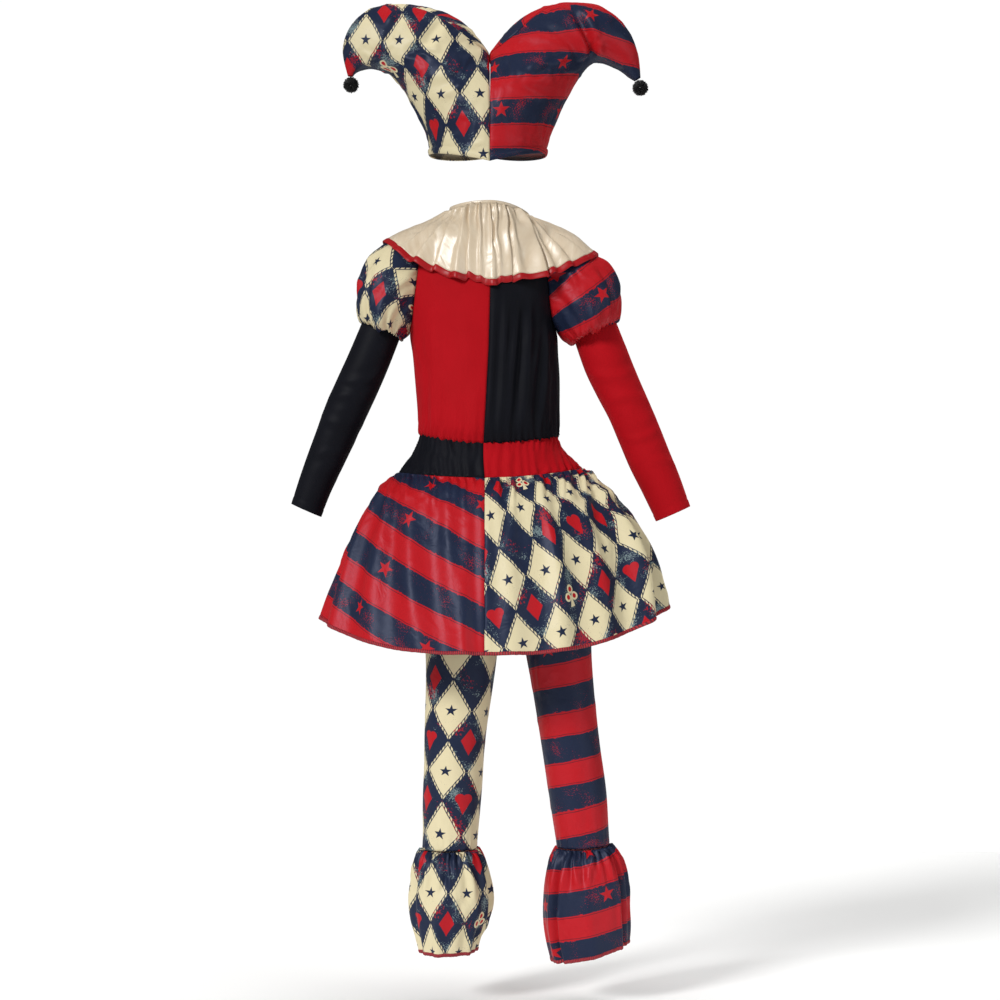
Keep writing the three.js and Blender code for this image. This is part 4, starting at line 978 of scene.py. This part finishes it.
def makeYoke(name, side, face, seed):
    u = np.linspace(0, 1, 55)
    points = loft([bodyRing(section, quarterAngles(side, face, u)) for section in rowsOf(hips["yoke"])], 24)
    across, down = arcFrom(points)
    left = down.max(0) - down
    height = gathers(across, down, seed, *hips["yokeTucks"])
    height += gathers(across, left, seed + 5, *hips["yokeLowTucks"])
    height += looseCreases(across, down, seed + 8, *hips["yokeLoose"])
    height *= smoothStep(0, 8, across) * smoothStep(0, 0.07, 1 - u)[None, :] * smoothStep(0, 3, down) \
        * smoothStep(0, 3, left)
    makeCloth("yoke_" + name, jerseyFor[-side], raised(points, False, height - dip(across, 0.7, 2.2)),
              np.stack([across, -down], -1))


def makeSkirt(name, side, face, seed):
    u, v = np.linspace(0, 1, 131), np.linspace(0, 1, 96)
    angle, rows = quarterAngles(side, face, u), rowsOf(hips["skirt"])
    rings = np.array([bodyRing(section, angle, 2 + k / (len(rows) - 1)) for k, section in enumerate(rows)])
    points = splineAt(rings, v * (len(rings) - 1))
    across, down = arcFrom(points)
    share, drop = np.broadcast_arrays(u[None, :], v[:, None])
    if face > 0:
        share = np.clip(share * 1.06 - 0.03, 0, 1)
    height, aside = np.zeros(share.shape), np.zeros(share.shape)
    for fold in rowsOf(hips["folds"][side * -face]):
        off = share - fold["top"] - (fold["hem"] - fold["top"]) * drop
        width = fold["width"] * (0.6 + 0.55 * drop)
        grow = smoothStep(fold["from"] - 0.05, fold["from"] + 0.7, drop)
        ridge = np.exp(-(off / width) ** 2)
        height += fold["height"] * grow * (ridge - fold["width"] * 1.5)
        aside += fold["height"] * fold["lean"] * grow * ridge
    height += gathers(across, down, seed + 11, *hips["tucks"]) * smoothStep(0, 4, down)
    height += gathers(across, down, seed + 14, *hips["puckers"]) * smoothStep(0, 30, down)
    height += looseCreases(across, down, seed + 21, *hips["loose"]) * smoothStep(0, 20, down)
    hold = smoothStep(0, 0.08, u)[None, :] * smoothStep(0, 0.08, 1 - u)[None, :]
    points = leanOver(raised(points, False, height * hold - dip(across, 0.9, 2.5)), aside * hold)
    # cut as part of a ring, so the grain turns towards the side seam
    sector = math.radians(hips["sectorDegrees"])
    folded = arcFrom(points)[0]
    turn = folded / folded[:, -1:] * sector
    radius = folded[-1, -1] / sector - (1 - drop) * down.max()
    flat = np.stack([side * radius * np.sin(turn), -radius * np.cos(turn) + radius[0, 0]], -1)
    hem = makeHem("skirt_" + name, points, across[-1], False)
    makeCloth("skirt_" + name, printFor[-side], points, turned(flat, **hips["print"][side]))


def makeHem(node, points, run, closed):  # the overlocked edge: a thin puckered roll over the cloth's last row
    normal, edge, width = normalsOf(points, closed)[-1], points[-1], hips["hem"]["width"]
    step = unit(edge - points[-2])
    pucker = 0.5 * wander(run, 7, 13) + 0.35 * wander(run, 8, 5)
    profile = [(-width, 0.35), (-width * 0.6, 0.75), (-0.8, 0.8), (0.7, 0.1), (-0.8, -1.7),
               (-width * 0.6, -1.8), (-width, -1.3)]  # along the cloth and out from it
    rings = [edge + step * (along + 0.5 * pucker)[:, None] + normal * (out + 0.3 * pucker)[:, None]
             for along, out in profile]
    return dress(makeRoll(node + "_hem", rings, closed, hips["hem"]["step"], serging))


for name, side, face in quarters:
    seed = 80 + side + 3 * face
    makeYoke(name, side, face, seed)
    makeSkirt(name, side, face, seed)
print("yoke and skirt made")


# Trousers and flounces

legs = {
    "trouser": {
        -1: table("""inX inZ outX outZ depth start
            -2 -412 -126 -404 95 -3
            8 -446 -123 -440 92 -14
            18 -478 -117 -474 85 -38
            23 -502 -111 -502 76 -66
            25 -516 -107 -522 70 -90
            17 -560 -99 -564 61 -90
            9 -650 -93 -652 53 -90
            -6 -756 -95 -758 46 -90
            -12 -840 -96.5 -841 43 -90
            -19 -917 -97.5 -918 40 -90"""),
        1: table("""inX inZ outX outZ depth start
            -2 -412 142 -398 95 -3
            8 -446 147 -438 92 -14
            18 -478 150 -474 85 -38
            23 -502 150 -502 76 -66
            25 -516 149 -522 70 -90
            38 -560 147 -564 61 -90
            55 -650 148 -650 51 -90
            72.5 -756 158 -756 45 -90
            85 -840 169 -838 42 -90
            97 -916 172.5 -912 40 -90"""),
    },
    "flounce": {
        -1: table("""inX inZ outX outZ backZ depth
            -19 -917 -97.5 -918 -919 40
            -8 -931 -108 -931 -932 50
            1 -958 -112.5 -957 -959 57
            5 -989 -116 -988 -990 60
            0 -1016 -113 -1017 -1018 58
            -12 -1042 -106 -1043 -1044 54
            -18 -1064 -101 -1067 -1067 51"""),
        1: table("""inX inZ outX outZ backZ depth
            97 -916 172.5 -912 -916 40
            87 -932 187 -926 -930 50
            80 -960 195 -950 -957 58
            77 -992 198 -976 -987 61
            77 -1022 199 -1002 -1015 61
            81 -1051 200 -1027 -1043 60
            88 -1079 199 -1053 -1070 58"""),
    },
    "trouserPrint": {-1: {"tilt": 5.3, "shift": (-126.4, 704.1), "ease": 0.9},
                     1: {"tilt": -9.5, "shift": (0, 657.9), "ease": 1}},
    "flouncePrint": {-1: {"tilt": 1.7, "shift": (29.1, 60.2)}, 1: {"tilt": -8, "shift": (0, 56.3)}},
    "flounceCut": 385, "flounceTucks": (12, 3.8, 24), "flounceLoose": (24, 0, 22, 70, 5, 2.0),
    "trouserSlack": (26, 80, 20, 55, 6, 1.3), "trouserLong": (22, 0, 14, 120, 7, 1.5),
    "trouserTucks": (11, 1.4, 16),
    # folds of the flounces: mm round from the inside (the back comes first) and down, then as above
    "flounceFolds": {
        -1: [(28, 5, 20, 175, 6, -5.0, 3), (70, 0, 60, 75, 6, 3.8, 2), (98, 0, 112, 62, 5, -3.8, 2),
             (126, 0, 140, 70, 6, 3.8, -2),
             (166, 5, 172, 175, 7, -4.5, 3), (58, 70, 52, 180, 8, 3.4, 2), (108, 70, 120, 180, 9, 3.6, -3),
             (205, 0, 196, 175, 7, -5.0, 3),
             (236, 0, 246, 80, 6, 3.8, 2), (272, 0, 262, 175, 8, -4.2, 3), (300, 0, 312, 85, 6, 3.8, -2),
             (338, 0, 330, 175, 8, -4.4, 2)],
        1: [(50, 0, 47, 190, 5, -9.5, 3), (156, 0, 161, 190, 5, -9.5, -3), (74, 0, 88, 62, 5, 4.0, 2),
            (112, 0, 99, 58, 5, 4.0, 2),
            (132, 0, 143, 66, 5, 4.0, -2), (64, 0, 61, 70, 5, 3.4, 2), (100, 50, 108, 190, 11, 3.0, 4),
            (190, 0, 186, 180, 7, 4.6, 2),
            (222, 0, 232, 180, 6, -5.0, 3), (262, 0, 250, 80, 6, 4.0, 2), (290, 0, 298, 180, 8, -4.4, 3),
            (340, 0, 334, 180, 8, -4.4, -2)],
    },
}


def makeTrouser(side, word):
    u, yokeEdge, rows = np.linspace(0, 1, 91), rowsOf(hips["yoke"])[-1], 132
    topRing = bodyRing(yokeEdge, side * np.pi * u)
    inward = topRing - [yokeEdge["seam"], 0, 0]
    inward[:, 2] = 0
    rings = [topRing - unit(inward) * 2.4]
    for row in rowsOf(legs["trouser"][side]):
        start = math.radians(row["start"])
        rings.append(lobeRing(row, start + (np.pi - 2 * start) * u, start))
    points = loft(rings, rows)
    across, down = arcFrom(points)
    width = across[:, -1:]
    around, left = across - width / 2, down.max(0) - down
    height = looseCreases(around, down, 100 + side, *legs["trouserSlack"])
    height += looseCreases(around, down, 110 + side, *legs["trouserLong"])
    height += gathers(around, left, 120 + side, *legs["trouserTucks"])
    hold = smoothStep(0, 10, across) * smoothStep(0, 10, width - across)
    height *= hold * smoothStep(0, 4, left) * smoothStep(0, 60, down)
    height -= 0.7 * (dip(across, 1, 2.2) + dip(width - across, 1, 2.2))
    look = legs["trouserPrint"][side]
    ringZ = [ring[:, 2].mean() for ring in rings]
    depth = np.interp(np.linspace(0, len(rings) - 1, rows), np.arange(len(rings)), ringZ)
    flat = np.stack([side * around * look["ease"], np.broadcast_to(depth[:, None], around.shape)], -1)
    flat = turned(flat, look["tilt"], look["shift"])
    makeCloth("trouser_" + word, printFor[side], raised(points, False, height), flat)


def makeFlounce(side, word):
    turn = np.linspace(-90, 270, 161)
    angle = np.radians(turn[:-1])
    rings = []
    for row in rowsOf(legs["flounce"][side]):
        ring = lobeRing(row, angle, math.radians(-90))
        ring[:, 2] += (row["backZ"] - (row["inZ"] + row["outZ"]) / 2) * np.maximum(0, np.cos(angle))
        rings.append(ring)
    points = loft(rings, 70)
    down, cut = arcFrom(points)[1], legs["flounceCut"]
    share = (turn[:-1] + 90) / 360
    around = np.broadcast_to(share * cut, down.shape)
    height = gathers(around, down, 130 + side, *legs["flounceTucks"]) * smoothStep(0, 3, down)
    height += creases(around, down, legs["flounceFolds"][side]) * smoothStep(0, 10, down)
    height += looseCreases(around, down, 150 + side, *legs["flounceLoose"]) * smoothStep(0, 16, down)
    height = (height - dip(down, 0.8, 2.0)) * (smoothStep(0, 0.03, share) * smoothStep(1, 0.97, share))
    points = raised(points, True, height)
    wide = np.linspace(0, cut, 161)[None, :] - cut / 4
    flat = np.stack(np.broadcast_arrays(side * wide, closeRing(-down)), -1)
    flat = turned(flat, **legs["flouncePrint"][side])
    hem = makeHem("flounce_" + word, points, np.arange(len(angle)) * 2.5, True)
    makeCloth("flounce_" + word, printFor[side], points, flat, closed=True)


for side, word in sides.items():
    makeTrouser(side, word)
    makeFlounce(side, word)
print("trousers and flounces made")


# Hat

hat = {
    -1: table("""inX inZ outX outZ depth start raise
        0 67 -87 86 96 0 28
        0 103 -93 117 96 -3 14
        0 143 -104 141 94 -10 0
        0 172 -115 162 90 -23 0
        0 198 -125 180 83 -43 0
        0 218 -135 193 76 -66 0
        -2 234 -147 205 68 -90 0
        -19 259 -160 210 61 -90 0
        -48 285 -172 212.5 53 -90 0
        -90 301 -182 212 45 -90 0
        -136 306 -188 210 37 -90 0
        -176 298 -191 208 29 -90 0
        -203 273 -194 206 21 -90 0
        -214 240 -196 204 14 -90 0
        -207 202 -198 201 6 -90 0"""),
    1: table("""inX inZ outX outZ depth start raise
        0 67 81 86 96 0 28
        0 103 87 113 96 -3 14
        0 143 98 139 94 -10 0
        0 172 109 163 90 -23 0
        0 198 120 184 83 -43 0
        0 218 131 201 76 -66 0
        0 234 142 215 68 -90 0
        20 261 153 222 61 -90 0
        50 288 162 221.5 53 -90 0
        88 305 171 218 45 -90 0
        133 308 179 214 38 -90 0
        172 296 187 210 30 -90 0
        199 270 194 205 22 -90 0
        214 237 201 199 14 -90 0
        219 200 209 194 6 -90 0"""),
    "print": {-1: {"tilt": 0.1, "shift": (64.3, -165.3)}, 1: {"tilt": -4, "shift": (0, -154.9)}},
    "rimRoll": 2.2,
    # how far the front panel's edge lies over to the back, in degrees, for each row of the tables above
    "lap": {-1: [0, 0, 0, 0, 0, 0, 14, 38, 40, 30, 16, 8, 6, 4, 2],
            1: [0, 0, 0, 0, 0, 0, 16, 40, 36, 24, 26, 28, 26, 18, 6]},
    "creases": {  # on the flat cloth: from, to, width, height, bow
        -1: [(-60, 280, -110, 225, 9, -4.0, 6), (-120, 300, -140, 240, 7, -3.0, -5),
             (-30, 200, -95, 175, 8, -2.5, 8)],
        1: [(112, 304, 146, 220, 7, -10.0, 5), (60, 270, 120, 225, 9, -3.0, 6),
            (25, 190, 95, 165, 8, -2.5, -8)],
    },
    # the right horn's cloth is folded along a line: beyond it the grain turns, in degrees
    "turnedGrain": {"from": (112, 302), "to": (142, 225), "turn": 20},
    "loose": (16, 60, 40, 45, 7, 1.7), "crumple": (110, 0, 90, 34, 4.6, 2.0),
}
pompom = {
    "at": {-1: (-201.5, 188.9), 1: (218, 184.5)}, "core": 3,
    "strands": 1100, "reach": (10.6, 12.6), "scatter": 0.16,
    "thick": ((0.75, 0.45), (0.62, 0.8)),  # a strand's radius, and how far along it is
}
goldenTurn, thirdTurn = 2.399963, 2.0944


def foldedGrain(flat):  # turns the print of the cloth that lies beyond the right horn's fold
    fold = hat["turnedGrain"]
    end = np.array(fold["to"])
    line = end - fold["from"]
    x, y = flat[..., 0] - end[0], flat[..., 1] - end[1]
    away = (x * -line[1] + y * line[0]) / np.linalg.norm(line)
    turn = np.radians(fold["turn"]) * smoothStep(-2.5, 2.5, away)
    return end + np.stack([x * np.cos(turn) - y * np.sin(turn), x * np.sin(turn) + y * np.cos(turn)], -1)


def makeHorn(name, side, face):  # half a horn with its quarter of the crown
    rows, u = rowsOf(hat[side]), np.linspace(0, 1, 61)
    rings, flats = [], []
    for row, lap in zip(rows, hat["lap"][side]):
        start = math.radians(row["start"])
        first = start - math.radians(face * lap)
        ring = lobeRing(row, first + (np.pi / 2 - first) * u, start)
        arc = np.concatenate([[0], np.cumsum(np.linalg.norm(np.diff(ring, axis=0), axis=1))])
        direction = np.array([row["outX"] - row["inX"], row["outZ"] - row["inZ"]])
        width = np.linalg.norm(direction)
        begin = (math.sin(first) - math.sin(start)) / (1 - math.sin(start)) * width
        slack = (arc[-1] - width + begin) / 2 * (-row["start"] / 90)
        flats.append(np.array([row["inX"], row["inZ"]]) + (arc + begin - slack)[:, None] * direction / width)
        if face > 0:
            ring[:, 2] += row["raise"] * (1 - u) ** 2
        ring[:, 1] *= -face
        rings.append(ring)
    place = np.concatenate([np.linspace(0, 1, 20)[:-1], np.linspace(1, len(rows) - 1, 100)])
    points, flat = splineAt(np.array(rings), place), splineAt(np.array(flats), place)
    across, down = arcFrom(points)
    left, fromTip, seed = across[:, -1:] - across, down.max(0) - down, 160 + side + 3 * face
    height = creases(flat[..., 0], flat[..., 1], hat["creases"][side])
    height += looseCreases(flat[..., 0], flat[..., 1], seed, *hat["loose"])
    height += looseCreases(flat[..., 0], flat[..., 1], seed + 10, *hat["crumple"])
    height *= smoothStep(0, 10, across) * smoothStep(0, 10, left) * smoothStep(0, 30, fromTip) \
        * smoothStep(8, 24, down)
    height -= 1.1 * (dip(across, 1, 2.2) + dip(left, 1, 2.2))
    roll = np.sqrt(np.clip(1 - ((down - 4.6) / 5.2) ** 2, 0, 1))
    height += hat["rimRoll"] * roll - dip(down - 11, 0.9, 1.4)
    if side > 0:
        flat = foldedGrain(flat)
    flat = turned(flat, **hat["print"][side])
    makeCloth("hat_" + name, printFor[side], raised(points, False, height), flat, thickness=1.8)


def makePompom(side, word):  # pointed three-sided strands, spread evenly over a ball
    rng = np.random.RandomState(180 + side)
    x, z = pompom["at"][side]
    points, faces = [], []
    for k in range(pompom["strands"]):
        y = 1 - 2 * (k + 0.5) / pompom["strands"]
        turn = k * goldenTurn
        out = np.array([math.sqrt(1 - y * y) * math.cos(turn), y, math.sqrt(1 - y * y) * math.sin(turn)])
        lean = unit(out + rng.normal(0, pompom["scatter"], 3))
        reach = rng.uniform(*pompom["reach"])
        aside = unit(np.cross(lean, [0.3, 0.5, 0.8]))
        other = np.cross(lean, aside)
        base = len(points)
        for radius, share in pompom["thick"]:
            for corner in range(3):
                spin = corner * thirdTurn
                points.append(out * pompom["core"] * (1 - share) + lean * reach * share
                              + radius * (aside * math.cos(spin) + other * math.sin(spin)))
        points.append(lean * reach)
        for corner in range(3):
            after = (corner + 1) % 3
            faces.append((base + corner, base + after, base + 3 + after, base + 3 + corner))
            faces.append((base + 3 + corner, base + 3 + after, base + 6))
    ball = meshObject("pompom_" + word + "_yarn", np.array(points) + [x, 0, z], faces, None, [yarn])
    dress(ball, "pompom_" + word)


for name, side, face in quarters:
    makeHorn(name, side, face)
for side, word in sides.items():
    makePompom(side, word)
print("hat made")


# Studio

studio = {
    "cameraAt": (0.0145, -4.0, -0.413), "lens": 99.3, "floor": -1.14,
    "floorColour": "#f7f7f6", "floorReach": 1.7, "backdrop": 1.02,
    "room": {"level": 0.22, "above": 0.14, "below": 0.18, "from": 0.1, "to": 0.5},
    # where each lamp stands as seen from the costume, its strength, how wide it looks in degrees,
    # and whether the satin mirrors it
    "lamps": {
        "key": ((-0.6, -0.75, 0.5), 2.4, 14, True), "fill": ((0.85, -0.6, 0.25), 0.5, 30, True),
        "top": ((0.1, 0.1, 1.0), 1.3, 45, False), "front": ((0.45, 0.8, 0.5), 1.5, 20, False),
    },
}


def makeFloor():
    paper, tree, shader = newMaterial("palePaintedFloor")
    setInputs(tree, shader, {"Base Color": linear(studio["floorColour"]), "Roughness": 0.9})
    mesh, size = bpy.data.meshes.new("floor"), studio["floorReach"]
    corners = [(-size, -size, 0), (size, -size, 0), (size, size, 0), (-size, size, 0)]
    mesh.from_pydata(corners, [], [(0, 1, 2, 3)])
    mesh.materials.append(paper)
    floor = newObject("floor", mesh)
    floor.location.z = studio["floor"]


def makeRoom():  # a pale room, a little darker overhead and below than round the costume
    world = bpy.data.worlds.new("paleRoom")
    world.use_nodes = True
    tree, room = world.node_tree, studio["room"]
    toward = addNode(tree, "TexCoord", (), "Generated")
    up = addNode(tree, "SeparateXYZ", (toward,), 2)
    over = addNode(tree, "MapRange", (up, room["from"], room["to"], room["level"], room["above"]), **soft)
    under = addNode(tree, "MapRange", (up, -room["from"], -room["to"], room["level"], room["below"]), **soft)
    shade = addNode(tree, "Math", (over, under), operation="MINIMUM")
    seen = addNode(tree, "LightPath", (), "Is Camera Ray")
    shade = addNode(tree, "Mix", {0: seen, 2: shade, 3: studio["backdrop"]}, data_type="FLOAT")
    setInputs(tree, tree.nodes["Background"], {"Color": (1, 1, 1, 1), "Strength": shade})
    bpy.context.scene.world = world


def makeLights():
    for name, (toward, strength, width, mirrored) in studio["lamps"].items():
        data = bpy.data.lights.new(name, "SUN")
        data.energy = strength
        data.angle = math.radians(width)
        lamp = newObject(name, data)
        lamp.visible_glossy = mirrored
        lamp.rotation_mode = "QUATERNION"
        lamp.rotation_quaternion = Vector(toward).to_track_quat("Z", "Y")


def makeCamera():
    data = bpy.data.cameras.new("camera")
    data.lens = studio["lens"]
    data.sensor_width = 36
    data.clip_end = 100
    camera = newObject("camera", data)
    camera.location = studio["cameraAt"]
    camera.rotation_euler = (math.pi / 2, 0, 0)
    bpy.context.scene.camera = camera


makeFloor()
makeRoom()
makeLights()
makeCamera()
print("scene ready")
